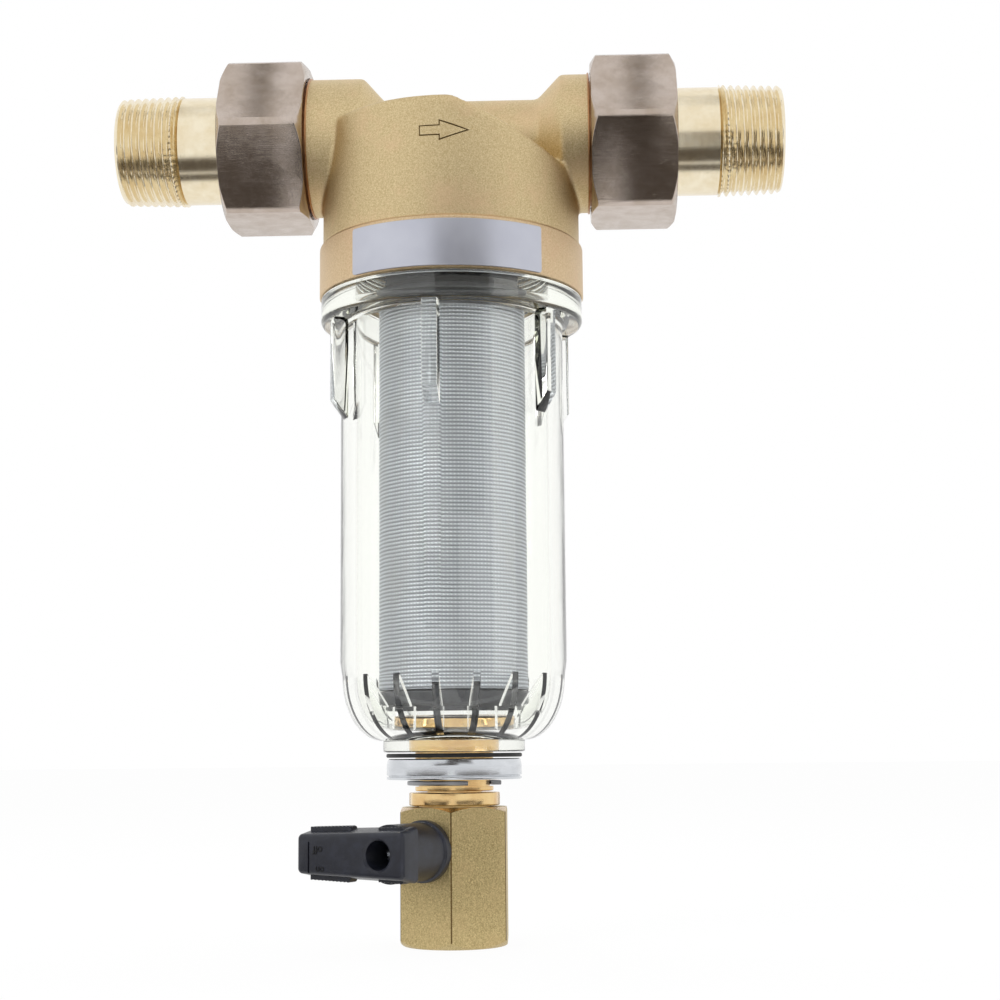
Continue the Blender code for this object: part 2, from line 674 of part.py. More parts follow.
def build_label(axis):
    """Foil label wrapped on the machined band."""
    inner = BAND_R + SEAT_GAP
    strip = tube_profile(inner, inner + LABEL_T, LABEL_BOTTOM_Z, LABEL_TOP_Z)
    start = LABEL_TURN - LABEL_ARC / 2
    add_object("rating_label", arc_mesh(strip, start, LABEL_ARC, LABEL_STEPS), foil(), axis)


def build_tail(side, axis):
    """Tailpiece and flat seal of one end; local Z runs outwards."""
    thread_start = TAIL_END - TAIL_THREAD_LENGTH
    thread_end_r = TAIL_THREAD_R - TAIL_THREAD_LENGTH * TAIL_TAPER
    turned(side + "_nipple", [
        (TAIL_BORE_R, FLANGE_FACE), (TAIL_FLANGE_R, FLANGE_FACE),
        (TAIL_FLANGE_R, FLANGE_FACE + TAIL_FLANGE_T), (TAIL_R, FLANGE_FACE + TAIL_FLANGE_T),
        (TAIL_R, thread_start - EDGE), (TAIL_THREAD_R, thread_start),
        (thread_end_r, TAIL_END - TAIL_END_CHAMFER),
        (thread_end_r - TAIL_END_CHAMFER, TAIL_END), (TAIL_BORE_R, TAIL_END)],
           MEDIUM_SIDES, brass_polished(), axis)
    gasket = tube_profile(TAIL_BORE_R + GASKET_HOLE_STEP, TAIL_FLANGE_R - GASKET_STEP,
                          GASKET_FACE, GASKET_FACE + GASKET_T)
    turned(side + "_gasket", gasket, MEDIUM_SIDES, fibre(), axis)


def build_nut(side, axis):
    """Hexagon nut that turns on the tailpiece and screws on to the head's spigot."""
    nut = chamfered_hexagon(side + "_union_nut", NUT_FLATS, NUT_CORNER_FLAT, NUT_INNER, NUT_OUTER,
                            NUT_FLATS / 2 + NUT_CHAMFER_STEP, NUT_CHAMFER_LENGTH, brass_dark(),
                            axis)
    thread_r = SPIGOT_R + SEAT_GAP
    lip_r = TAIL_R + SEAT_GAP
    bore = [(0.0, NUT_INNER - CUT), (thread_r + NUT_MOUTH + CUT, NUT_INNER - CUT),
            (thread_r, NUT_INNER + NUT_MOUTH), (thread_r, LIP_FACE), (lip_r, LIP_FACE),
            (lip_r, NUT_OUTER + CUT), (0.0, NUT_OUTER + CUT)]
    cut(nut, turned(side + "_nut_bore", bore, MEDIUM_SIDES, parent=axis))


def dome_outside(angle):
    """Point on the bowl's rounded bottom, from the wall at 0 to the foot at 90 degrees."""
    depth = DOME_TOP_Z - BOWL_FOOT_Z - FOOT_HEIGHT
    return (BOWL_FOOT_R + (DOME_R - BOWL_FOOT_R) * cos(angle), DOME_TOP_Z - depth * sin(angle))


def dome_inside(angle):
    """Point on the inner bottom curve, from the wall at 0 to the floor at 90 degrees."""
    floor_r = BUSH_FLANGE_R + FLOOR_MARGIN
    return (floor_r + (BOWL_BORE_R - floor_r) * cos(angle),
            DOME_TOP_Z - DOME_HEIGHT * sin(angle))


def bowl_outside():
    """Outer outline of the bowl, from the neck's top down to the foot."""
    groove_r = NECK_THREAD_R - BOWL_SEAL_SECTION - SEAT_GAP
    groove = BOWL_SEAL_SECTION / 2 + SEAT_GAP
    points = [(NECK_THREAD_R - EDGE, BOWL_NECK_TOP_Z), (NECK_THREAD_R, BOWL_NECK_TOP_Z - EDGE),
              (NECK_THREAD_R, BOWL_SEAL_Z + groove), (groove_r, BOWL_SEAL_Z + groove),
              (groove_r, BOWL_SEAL_Z - groove), (NECK_THREAD_R, BOWL_SEAL_Z - groove),
              (NECK_THREAD_R, FLANGE_TOP_Z), (FLANGE_R - FLANGE_EDGE, FLANGE_TOP_Z),
              (FLANGE_R, FLANGE_TOP_Z - FLANGE_EDGE)]
    for i in range(3):
        angle = pi / 2 * i / 2
        points.append((FLANGE_R - FLANGE_ROUND * (1 - cos(angle)),
                       FLANGE_BOTTOM_Z + FLANGE_ROUND * (1 - sin(angle))))
    points += [(BOWL_R + FLANGE_FILLET, FLANGE_BOTTOM_Z), (BOWL_R, FLANGE_BOTTOM_Z - FLANGE_FILLET),
               (BOWL_R, DOME_TOP_Z + DOME_LEAD)]
    points += [dome_outside(pi / 2 * i / DOME_FACETS) for i in range(DOME_FACETS)]
    points += [(BOWL_FOOT_R, BOWL_FOOT_Z + FOOT_HEIGHT), (BOWL_FOOT_R, BOWL_FOOT_Z)]
    return points


def bowl_inside():
    """Inner outline, from the drain hole up to the neck's top."""
    points = [(BOWL_HOLE_R, BOWL_FOOT_Z), (BOWL_HOLE_R, BOWL_FLOOR_Z)]
    points += [dome_inside(pi / 2 * i / DOME_FACETS) for i in range(DOME_FACETS, 0, -1)]
    points += [(BOWL_BORE_R, DOME_TOP_Z), (BOWL_BORE_R, BOWL_NECK_TOP_Z - NECK_MOUTH),
               (BOWL_BORE_R + NECK_MOUTH, BOWL_NECK_TOP_Z)]
    return points


def rib_outline():
    """Rib inside the bowl's bottom, with a ledge under the rim of the insert's cap.

    Its outer side lies halfway through the wall.
    """
    inner_r = CAP_FOOT_R + SEAT_GAP
    ledge_r = CAP_R + SEAT_GAP
    ledge_z = CAP_RIM_Z - SEAT_GAP
    points = [(inner_r, BOWL_FLOOR_Z - RIB_ROOT), (inner_r, ledge_z), (ledge_r, ledge_z),
              (ledge_r, CAP_RIM_Z), (BOWL_BORE_R, DOME_TOP_Z + RIB_LEAD),
              (BOWL_BORE_R + BOWL_WALL / 2, DOME_TOP_Z + RIB_LEAD)]
    for i in range(RIB_ROOT_STEPS):
        angle = pi / 2 * i / RIB_ROOT_STEPS
        pair = zip(dome_outside(angle), dome_inside(angle))
        points.append(tuple((outer + inner) / 2 for outer, inner in pair))
    return points


def radial_set(name, count, outline, width, axis):
    """Plates of a (radius, height) outline set evenly round the bowl."""
    whole = bmesh.new()
    for i in range(count):
        plate = prism_mesh(outline, -width / 2, width / 2)
        bmesh.ops.rotate(plate, matrix=Matrix.Rotation(radians(90), 3, "X"), verts=plate.verts)
        turn = Matrix.Rotation(2 * pi * i / count, 3, "Z")
        bmesh.ops.rotate(plate, matrix=turn, verts=plate.verts)
        loose = bpy.data.meshes.new(name + "_plate")
        plate.to_mesh(loose)
        plate.free()
        whole.from_mesh(loose)
        bpy.data.meshes.remove(loose)
    return add_object(name, whole, parent=axis)


def build_bowl(axis):
    """Clear bowl with wrench lugs under its flange and ribs inside its bottom."""
    bowl = turned("bowl", bowl_outside() + bowl_inside(), FINE_SIDES, clear_plastic(), axis)
    root_r = BOWL_R - BOWL_WALL / 2
    top_z = FLANGE_BOTTOM_Z + EDGE
    edge_end_z = FLANGE_BOTTOM_Z - LUG_LENGTH
    foot_z = edge_end_z - LUG_RUN_OUT
    lug = [(root_r, top_z), (LUG_R, top_z), (LUG_R, edge_end_z), (BOWL_R, foot_z),
           (root_r, foot_z)]
    join(bowl, radial_set("bowl_lugs", LUG_COUNT, lug, LUG_WIDTH, axis))
    join(bowl, radial_set("bowl_ribs", RIB_COUNT, rib_outline(), RIB_WIDTH, axis))
    seal_r = NECK_THREAD_R - BOWL_SEAL_SECTION / 2
    turned("bowl_oring", ring_profile(seal_r, BOWL_SEAL_Z, BOWL_SEAL_SECTION), MEDIUM_SIDES,
           rubber(), axis)


def cage_mesh():
    """Open basket: upright ribs and level rings, with windows between them."""
    columns = CAGE_RIB_COUNT * 3
    step = (MESH_LENGTH - CAGE_BAND) / CAGE_ROW_COUNT
    heights = []
    for row in range(CAGE_ROW_COUNT + 1):
        heights += [MESH_TOP_Z - row * step, MESH_TOP_Z - row * step - CAGE_BAND]
    made = bmesh.new()
    corner = {}
    for skin, radius in enumerate((CAGE_R, CAGE_R - CAGE_T)):
        for level, height in enumerate(heights):
            for i in range(columns):
                angle = 2 * pi * i / columns
                spot = (radius * cos(angle), radius * sin(angle), height)
                corner[skin, level, i] = made.verts.new(spot)

    def solid(row, column):
        return 0 <= row < len(heights) - 1 and (row % 2 == 0 or column % 3 == 0)

    def wall(row_a, column_a, row_b, column_b):
        made.faces.new((corner[0, row_a, column_a], corner[0, row_b, column_b],
                        corner[1, row_b, column_b], corner[1, row_a, column_a]))

    for row in range(len(heights) - 1):
        for i in range(columns):
            if not solid(row, i):
                continue
            j = (i + 1) % columns
            for skin in (0, 1):
                made.faces.new((corner[skin, row, i], corner[skin, row, j],
                                corner[skin, row + 1, j], corner[skin, row + 1, i]))
            if not solid(row - 1, i):
                wall(row, i, row, j)
            if not solid(row + 1, i):
                wall(row + 1, i, row + 1, j)
            if not solid(row, (i - 1) % columns):
                wall(row, i, row + 1, i)
            if not solid(row, j):
                wall(row, j, row + 1, j)
    return made


def build_collar(axis):
    """Collar that slides over the head's centre boss, with a seal inside it."""
    collar_r = COLLAR_BORE_R + INSERT_SEAL_SECTION + COLLAR_WALL
    groove_r = COLLAR_BORE_R + INSERT_SEAL_SECTION + SEAT_GAP
    groove = INSERT_SEAL_SECTION / 2 + SEAT_GAP
    stop_z = CENTRE_BOSS_END_Z - SEAT_GAP
    foot_z = MESH_TOP_Z + SEAT_GAP
    foot_top_z = foot_z + COLLAR_FOOT_T
    turned("insert_collar", [
        (COLLAR_BORE_R, COLLAR_TOP_Z), (collar_r, COLLAR_TOP_Z),
        (collar_r, foot_top_z + COLLAR_FOOT_TAPER), (CAP_R, foot_top_z), (CAP_R, foot_z),
        (SKIRT_R, foot_z), (SKIRT_R, foot_z - SKIRT_LENGTH), (SKIRT_HOLE_R, foot_z - SKIRT_LENGTH),
        (SKIRT_HOLE_R, stop_z - COLLAR_NECK_T), (CENTRE_BORE_R, stop_z - COLLAR_NECK_T / 2),
        (CENTRE_BORE_R, stop_z), (COLLAR_BORE_R, stop_z), (COLLAR_BORE_R, INSERT_SEAL_Z - groove),
        (groove_r, INSERT_SEAL_Z - groove), (groove_r, INSERT_SEAL_Z + groove),
        (COLLAR_BORE_R, INSERT_SEAL_Z + groove)], MEDIUM_SIDES, dark_plastic(), axis)
    seal_r = COLLAR_BORE_R + INSERT_SEAL_SECTION / 2
    turned("insert_seal", ring_profile(seal_r, INSERT_SEAL_Z, INSERT_SEAL_SECTION), MEDIUM_SIDES,
           rubber(), axis)


def build_insert(axis):
    """Mesh insert: collar, cage, mesh sleeve and end cap."""
    build_collar(axis)
    add_object("support_cage", cage_mesh(), dark_plastic(), axis)
    turned("screen_mesh", tube_profile(MESH_R - MESH_T, MESH_R, MESH_BOTTOM_Z, MESH_TOP_Z),
           FINE_SIDES, stainless(), axis)
    turned("insert_end_cap", [
        (0.0, CAP_FOOT_Z), (CAP_FOOT_R, CAP_FOOT_Z), (CAP_FOOT_R, CAP_RIM_Z), (CAP_R, CAP_RIM_Z),
        (CAP_R, CAP_TOP_Z), (SKIRT_R, CAP_TOP_Z), (SKIRT_R, CAP_TOP_Z + SKIRT_LENGTH),
        (SKIRT_HOLE_R, CAP_TOP_Z + SKIRT_LENGTH), (SKIRT_HOLE_R, CAP_TOP_Z), (0.0, CAP_TOP_Z)],
           MEDIUM_SIDES, dark_plastic(), axis)


def build_bush(axis):
    """Bush through the bowl's floor, with its seal."""
    flange_bottom = BUSH_TOP_Z - BUSH_FLANGE_T
    groove_r = BUSH_NECK_R - BUSH_SEAL_SECTION - SEAT_GAP
    groove = BUSH_SEAL_SECTION / 2 + SEAT_GAP
    spigot_bore_r = END_SPIGOT_R + SEAT_GAP
    turned("drain_bush", [
        (BUSH_BORE_R, BUSH_TOP_Z - EDGE), (BUSH_BORE_R + BUSH_MOUTH, BUSH_TOP_Z),
        (BUSH_FLANGE_R - EDGE, BUSH_TOP_Z), (BUSH_FLANGE_R, BUSH_TOP_Z - EDGE),
        (BUSH_FLANGE_R, flange_bottom), (BUSH_NECK_R, flange_bottom),
        (BUSH_NECK_R, BUSH_SEAL_Z + groove), (groove_r, BUSH_SEAL_Z + groove),
        (groove_r, BUSH_SEAL_Z - groove), (BUSH_NECK_R, BUSH_SEAL_Z - groove),
        (BUSH_NECK_R, BOWL_FOOT_Z), (BUSH_R, BOWL_FOOT_Z), (BUSH_R, RETAINER_TOP_Z + SEAT_GAP),
        (RETAINER_GROOVE_R, RETAINER_TOP_Z + SEAT_GAP),
        (RETAINER_GROOVE_R, RETAINER_BOTTOM_Z - SEAT_GAP), (BUSH_R, RETAINER_BOTTOM_Z - SEAT_GAP),
        (BUSH_R, BUSH_END_Z), (spigot_bore_r, BUSH_END_Z),
        (spigot_bore_r, END_SPIGOT_TOP_Z + SEAT_GAP), (BUSH_BORE_R, END_SPIGOT_TOP_Z + SEAT_GAP)],
           MEDIUM_SIDES, brass_polished(), axis)
    seal_r = BUSH_NECK_R - BUSH_SEAL_SECTION / 2
    turned("bush_oring", ring_profile(seal_r, BUSH_SEAL_Z, BUSH_SEAL_SECTION), SMALL_SIDES,
           rubber(), axis)


def build_drain(axis):
    """Bush, washer and rings that clamp the valve to the bowl's bottom."""
    build_bush(axis)
    hole_r = BUSH_R + SEAT_GAP
    turned("drain_washer", tube_profile(hole_r, DRAIN_WASHER_R, WASHER_TOP_Z - DRAIN_WASHER_T,
                                        WASHER_TOP_Z), MEDIUM_SIDES, rubber(), axis)
    lip_z = STEEL_RING_BOTTOM_Z + STEEL_RING_LIP
    turned("steel_ring", [
        (hole_r, STEEL_RING_TOP_Z), (STEEL_RING_R - EDGE, STEEL_RING_TOP_Z),
        (STEEL_RING_R, STEEL_RING_TOP_Z - EDGE), (STEEL_RING_R, lip_z),
        (STEEL_RING_R - EDGE, lip_z - STEEL_RING_GROOVE), (STEEL_RING_R, lip_z - EDGE),
        (STEEL_RING_R - EDGE, STEEL_RING_BOTTOM_Z), (hole_r, STEEL_RING_BOTTOM_Z)],
           MEDIUM_SIDES, stainless(), axis)
    split = tube_profile(RETAINER_GROOVE_R + SEAT_GAP, RETAINER_R, RETAINER_BOTTOM_Z,
                         RETAINER_TOP_Z)
    start = RETAINER_TURN + RETAINER_OPENING_ARC / 2
    sweep = WHOLE_TURN - RETAINER_OPENING_ARC
    add_object("retaining_ring", arc_mesh(split, start, sweep, RETAINER_STEPS), stainless(), axis)


def polygon(radius, sides):
    return [(radius * cos(2 * pi * i / sides), radius * sin(2 * pi * i / sides))
            for i in range(sides)]


def build_end_piece(axis):
    """Collar with small flats that screws into the valve and holds its upper seat."""
    collar = prism_mesh(polygon(END_COLLAR_R, END_COLLAR_SIDES), END_COLLAR_BOTTOM_Z,
                        END_COLLAR_TOP_Z)
    piece = add_object("valve_end_piece", collar, brass_polished(), axis)
    middle = (END_COLLAR_TOP_Z + END_COLLAR_BOTTOM_Z) / 2
    core = [(0.0, END_SPIGOT_TOP_Z), (END_SPIGOT_R, END_SPIGOT_TOP_Z), (END_SPIGOT_R, middle),
            (END_BOSS_R, middle), (END_BOSS_R, END_BOSS_BOTTOM_Z), (0.0, END_BOSS_BOTTOM_Z)]
    join(piece, turned("end_core", core, MEDIUM_SIDES, parent=axis))
    cut(piece, turned("end_bore", rod_profile(VALVE_PORT_R, END_BOSS_BOTTOM_Z - CUT,
                                              END_SPIGOT_TOP_Z + CUT), SMALL_SIDES, parent=axis))


def build_valve_body(axis, stem_axis):
    """Hexagonal body with the ball's cavity, a stem boss and the drain socket."""
    half_flats = VALVE_FLATS / 2
    body = chamfered_hexagon("valve_body", VALVE_FLATS, VALVE_CORNER_FLAT, VALVE_BOTTOM_Z,
                             VALVE_TOP_Z, half_flats + VALVE_CHAMFER_STEP, VALVE_CHAMFER_LENGTH,
                             brass_cast(), axis)
    join(body, turned("stem_boss", rod_profile(STEM_BOSS_R, half_flats - STEM_BOSS_ROOT,
                                               STEM_BOSS_END_D), SMALL_SIDES, parent=stem_axis))
    thread_r = END_BOSS_R + SEAT_GAP
    way = [(0.0, VALVE_TOP_Z + CUT), (thread_r, VALVE_TOP_Z + CUT), (thread_r, SEAT_TOP_Z),
           (CAVITY_R, SEAT_TOP_Z), (CAVITY_R, CAVITY_BOTTOM_Z), (VALVE_PORT_R, CAVITY_BOTTOM_Z),
           (VALVE_PORT_R, SOCKET_TOP_Z + SOCKET_CONE), (SOCKET_R, SOCKET_TOP_Z),
           (SOCKET_R, VALVE_BOTTOM_Z + SOCKET_MOUTH),
           (SOCKET_R + SOCKET_MOUTH + CUT, VALVE_BOTTOM_Z - CUT), (0.0, VALVE_BOTTOM_Z - CUT)]
    cut(body, turned("valve_way", way, MEDIUM_SIDES, parent=axis))
    start = BALL_R - STEM_BOSS_ROOT
    shoulder_r = STEM_SHOULDER_R + SEAT_GAP
    shoulder_end = STEM_SHOULDER_D + STEM_SHOULDER_T + SEAT_GAP
    stem_way = [(0.0, start), (shoulder_r, start), (shoulder_r, shoulder_end),
                (STEM_R + SEAT_GAP, shoulder_end), (STEM_R + SEAT_GAP, STEM_BOSS_END_D + CUT),
                (0.0, STEM_BOSS_END_D + CUT)]
    cut(body, turned("stem_way", stem_way, SMALL_SIDES, parent=stem_axis))


def build_seat(name, direction, axis):
    """Seat ring with a hollow face that follows the ball at its clearance."""
    clear_r = BALL_R + SEAT_GAP
    face_r = SEAT_R - SEAT_RIM
    points = [(VALVE_PORT_R, VALVE_Z + direction * SEAT_DEPTH),
              (SEAT_R, VALVE_Z + direction * SEAT_DEPTH), (SEAT_R, VALVE_Z + direction * SEAT_LOW)]
    for i in range(SEAT_STEPS + 1):
        radius = face_r + (VALVE_PORT_R - face_r) * i / SEAT_STEPS
        points.append((radius, VALVE_Z + direction * sqrt(clear_r ** 2 - radius ** 2)))
    turned(name, points, SMALL_SIDES, white_plastic(), axis)


def build_ball(stem_axis):
    """Bored ball; local X is the bore and local Z the stem's side."""
    points = []
    for i in range(BALL_STEPS + 1):
        angle = pi * i / BALL_STEPS
        points.append((BALL_R * sin(angle), BALL_R * cos(angle)))
    ball = turned("valve_ball", points, SMALL_SIDES, stainless(), stem_axis)
    bore = turned_mesh(rod_profile(VALVE_PORT_R, -BALL_R - CUT, BALL_R + CUT), SMALL_SIDES)
    bmesh.ops.rotate(bore, matrix=Matrix.Rotation(radians(90), 3, "Y"), verts=bore.verts)
    cut(ball, add_object("ball_bore", bore, parent=stem_axis))
    half = TONGUE_T / 2 + SEAT_GAP
    floor = BALL_R - TONGUE_DEPTH - SEAT_GAP
    slot = box_mesh((-BALL_R, -half, floor), (BALL_R, half, BALL_R + CUT))
    cut(ball, add_object("ball_slot", slot, parent=stem_axis))


def build_stem(stem_axis):
    """Stem with its tongue in the ball's slot and a square for the lever."""
    groove_r = STEM_R - STEM_SEAL_SECTION - SEAT_GAP
    groove = STEM_SEAL_SECTION / 2 + SEAT_GAP
    shoulder_end = STEM_SHOULDER_D + STEM_SHOULDER_T
    stem = turned("valve_stem", [
        (0.0, STEM_SHOULDER_D), (STEM_SHOULDER_R, STEM_SHOULDER_D), (STEM_SHOULDER_R, shoulder_end),
        (STEM_R, shoulder_end), (STEM_R, STEM_SEAL_D - groove), (groove_r, STEM_SEAL_D - groove),
        (groove_r, STEM_SEAL_D + groove), (STEM_R, STEM_SEAL_D + groove), (STEM_R, STEM_BOSS_END_D),
        (0.0, STEM_BOSS_END_D)], SMALL_SIDES, stainless(), stem_axis)
    half = STEM_SQUARE / 2
    square = box_mesh((-half, -half, STEM_BOSS_END_D - CUT), (half, half, STEM_END_D))
    join(stem, add_object("stem_square", square, parent=stem_axis))
    tongue = box_mesh((-TONGUE_LENGTH / 2, -TONGUE_T / 2, BALL_R - TONGUE_DEPTH),
                      (TONGUE_LENGTH / 2, TONGUE_T / 2, STEM_SHOULDER_D + EDGE))
    join(stem, add_object("stem_tongue", tongue, parent=stem_axis))
    hole = rod_profile(SCREW_R + SEAT_GAP, SCREW_END_D - SEAT_GAP, STEM_END_D + CUT)
    cut(stem, turned("stem_hole", hole, SMALL_SIDES, parent=stem_axis))
    seal_r = STEM_R - STEM_SEAL_SECTION / 2
    turned("stem_oring", ring_profile(seal_r, STEM_SEAL_D, STEM_SEAL_SECTION), SMALL_SIDES,
           rubber(), stem_axis)


def lever_outline(grow, inset):
    """Tapered plate outline with rounded corners, in the lever's plane."""
    corners = [(LEVER_REACH, LEVER_TIP_HEIGHT, 1), (-LEVER_HEEL, LEVER_HEIGHT, 1),
               (-LEVER_HEEL, LEVER_HEIGHT, -1), (LEVER_REACH, LEVER_TIP_HEIGHT, -1)]
    points = []
    for k, (x, height, side) in enumerate(corners):
        outer = 1 if x > 0 else -1
        centre_x = x - outer * LEVER_ROUND
        centre_y = side * (height / 2 + grow - LEVER_ROUND)
        for i in range(LEVER_CORNER_STEPS + 1):
            angle = pi / 2 * (k + i / LEVER_CORNER_STEPS)
            radius = LEVER_ROUND - inset
            points.append((centre_x + radius * cos(angle), centre_y + radius * sin(angle)))
    return points


def loft_mesh(sections):
    """Skin over (height, outline) sections that have equal point counts."""
    made = bmesh.new()
    rings = [[made.verts.new((x, y, height)) for x, y in outline] for height, outline in sections]
    for low, high in zip(rings, rings[1:]):
        for k in range(len(low)):
            n = (k + 1) % len(low)
            made.faces.new((low[k], low[n], high[n], high[k]))
    made.faces.new(rings[0])
    made.faces.new(rings[-1])
    return made


def grip_pad(side):
    """Raised pad on one edge of the lever, from near its tip."""
    edge = LEVER_TIP_HEIGHT / 2 + LEVER_FLARE
    base = LEVER_TIP_HEIGHT / 2 - GRIP_ROOT
    far = LEVER_REACH - GRIP_TIP_SET
    near = far - GRIP_LENGTH
    wedge = [(far, side * base), (far, side * (edge + GRIP_TIP_RISE)),
             (near, side * (edge + GRIP_RISE)), (near - GRIP_RUN_OUT, side * base)]
    start = LEVER_BACK_D + GRIP_SET
    return prism_mesh(wedge, start, start + GRIP_DEPTH)


def build_lever(stem_axis):
    """Moulded lever: hub over the valve's stem boss, and a tapered arm."""
    hub = turned("lever", [
        (0.0, HUB_START_D), (HUB_RING_R, HUB_START_D), (HUB_RING_R, HUB_RING_END_D - HUB_RING_EASE),
        (HUB_R, HUB_RING_END_D), (HUB_R, LEVER_BACK_D + CUT), (0.0, LEVER_BACK_D + CUT)],
                 MEDIUM_SIDES, black_plastic(), stem_axis)
    slope_start = LEVER_FRONT_D - LEVER_FRONT_EDGE
    arm = loft_mesh([(LEVER_BACK_D, lever_outline(LEVER_FLARE, LEVER_BACK_EDGE)),
                     (LEVER_BACK_D + LEVER_BACK_EDGE, lever_outline(LEVER_FLARE, 0.0)),
                     (slope_start, lever_outline(0.0, 0.0)),
                     (slope_start + LEVER_FRONT_EDGE * 0.7, lever_outline(0.0, LEVER_FRONT_EDGE * 0.3)),
                     (LEVER_FRONT_D, lever_outline(0.0, LEVER_FRONT_EDGE))])
    join(hub, add_object("lever_arm", arm, parent=stem_axis))
    for side in (-1, 1):
        join(hub, add_object("grip_pad", grip_pad(side), parent=stem_axis))
    hollow_r = STEM_BOSS_R + SEAT_GAP
    hollow = rod_profile(hollow_r, HUB_START_D - CUT, STEM_BOSS_END_D + SEAT_GAP)
    cut(hub, turned("lever_hollow", hollow, SMALL_SIDES, parent=stem_axis))
    half = STEM_SQUARE / 2 + SEAT_GAP
    square = box_mesh((-half, -half, STEM_BOSS_END_D), (half, half, STEM_END_D + SEAT_GAP))
    cut(hub, add_object("lever_square", square, parent=stem_axis))
    hole_r = SCREW_R + SEAT_GAP
    well = [(0.0, STEM_END_D), (hole_r, STEM_END_D), (hole_r, LEVER_WEB_D),
            (SCREW_WELL_R, LEVER_WEB_D), (SCREW_WELL_R, LEVER_FRONT_D + CUT),
            (0.0, LEVER_FRONT_D + CUT)]
    cut(hub, turned("screw_well", well, SMALL_SIDES, parent=stem_axis))


def build_screw(stem_axis):
    """Pan head screw with a crossed recess."""
    under = LEVER_WEB_D + SEAT_GAP
    top = under + SCREW_HEAD_T
    screw = turned("handle_screw", [
        (0.0, SCREW_END_D), (SCREW_R - SCREW_POINT_STEP, SCREW_END_D),
        (SCREW_R, SCREW_END_D + SCREW_POINT), (SCREW_R, under), (SCREW_HEAD_R, under),
        (SCREW_HEAD_R, under + SCREW_HEAD_WALL), (SCREW_HEAD_R - EDGE, top - SCREW_DOME_RISE),
        (SCREW_FLAT_R, top), (0.0, top)], MEDIUM_SIDES, stainless(), stem_axis)
    long_half = RECESS_REACH
    thin_half = RECESS_WIDTH / 2
    for name, x, y in (("recess_a", long_half, thin_half), ("recess_b", thin_half, long_half)):
        blade = box_mesh((-x, -y, top - RECESS_DEPTH), (x, y, top + CUT))
        cut(screw, add_object(name, blade, parent=stem_axis))


def front_direction(turn):
    """Level direction that lies some degrees to the right of the front."""
    return Vector((sin(radians(turn)), -cos(radians(turn)), 0.0))


def axis_matrix(place, along, across):
    """Frame at a place in millimetres, with local Z along and local X across."""
    along = along.normalized()
    across = across.normalized()
    side = along.cross(across)
    frame = Matrix((across, side, along)).transposed().to_4x4()
    frame.translation = Vector(place) * MM
    return frame


def build():
    clear_scene()
    up = Vector((0.0, 0.0, 1.0))
    right = Vector((1.0, 0.0, 0.0))
    front = front_direction(0.0)
    centre = (0.0, 0.0, 0.0)
    pipe_axis = make_axis("pipe_axis", axis_matrix(centre, right, front))
    head_axis = make_axis("head_axis", axis_matrix(centre, up, front))
    build_head(pipe_axis)
    build_label(head_axis)
    for side, outwards in (("inlet", -right), ("outlet", right)):
        axis = make_axis(side + "_axis", axis_matrix(centre, outwards, front))
        build_tail(side, axis)
        build_nut(side, axis)
    build_insert(make_axis("insert_axis", axis_matrix(centre, up, front)))
    bowl_axis = make_axis("bowl_axis", axis_matrix(centre, up, front_direction(BOWL_TURN)))
    build_bowl(bowl_axis)
    build_drain(bowl_axis)
    valve_axis = make_axis("valve_axis", axis_matrix(centre, up, front))
    stem = front_direction(STEM_TURN)
    stem_axis = make_axis("stem_axis", axis_matrix((0.0, 0.0, VALVE_Z), stem, stem.cross(up)))
    build_end_piece(valve_axis)
    build_valve_body(valve_axis, stem_axis)
    build_seat("upper_seat", 1, valve_axis)
    build_seat("lower_seat", -1, valve_axis)
    build_ball(stem_axis)
    build_stem(stem_axis)
    build_lever(stem_axis)
    build_screw(stem_axis)


build()
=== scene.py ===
from math import atan2, cos, degrees, floor, pi, radians, sin, sqrt, tan

import bmesh
import bpy
from mathutils import Matrix, Vector


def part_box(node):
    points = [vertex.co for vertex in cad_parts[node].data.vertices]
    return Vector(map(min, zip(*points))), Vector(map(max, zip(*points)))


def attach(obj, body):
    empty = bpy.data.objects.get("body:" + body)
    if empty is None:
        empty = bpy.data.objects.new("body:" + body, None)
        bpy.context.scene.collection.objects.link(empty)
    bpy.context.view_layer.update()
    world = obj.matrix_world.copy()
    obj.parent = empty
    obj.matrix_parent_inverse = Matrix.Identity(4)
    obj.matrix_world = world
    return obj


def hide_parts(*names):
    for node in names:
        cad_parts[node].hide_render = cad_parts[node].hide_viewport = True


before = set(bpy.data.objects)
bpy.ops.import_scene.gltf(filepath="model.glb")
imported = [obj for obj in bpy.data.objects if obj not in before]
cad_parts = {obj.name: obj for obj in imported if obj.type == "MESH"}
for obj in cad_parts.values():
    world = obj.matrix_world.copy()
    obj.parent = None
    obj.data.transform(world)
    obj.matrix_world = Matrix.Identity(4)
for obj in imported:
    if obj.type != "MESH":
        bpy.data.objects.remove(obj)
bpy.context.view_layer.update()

# Lengths are in millimetres until a mesh is made. The pipe axis runs along X through the
# origin, and the bowl hangs on the Z axis.
MM = 0.001


def span(node):
    """Lowest and highest corner of a CAD node, in millimetres."""
    low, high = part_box(node)
    return low / MM, high / MM


def radius_of(node):
    """Half a round node's width, in millimetres."""
    low, high = span(node)
    return (high.x - low.x) / 2


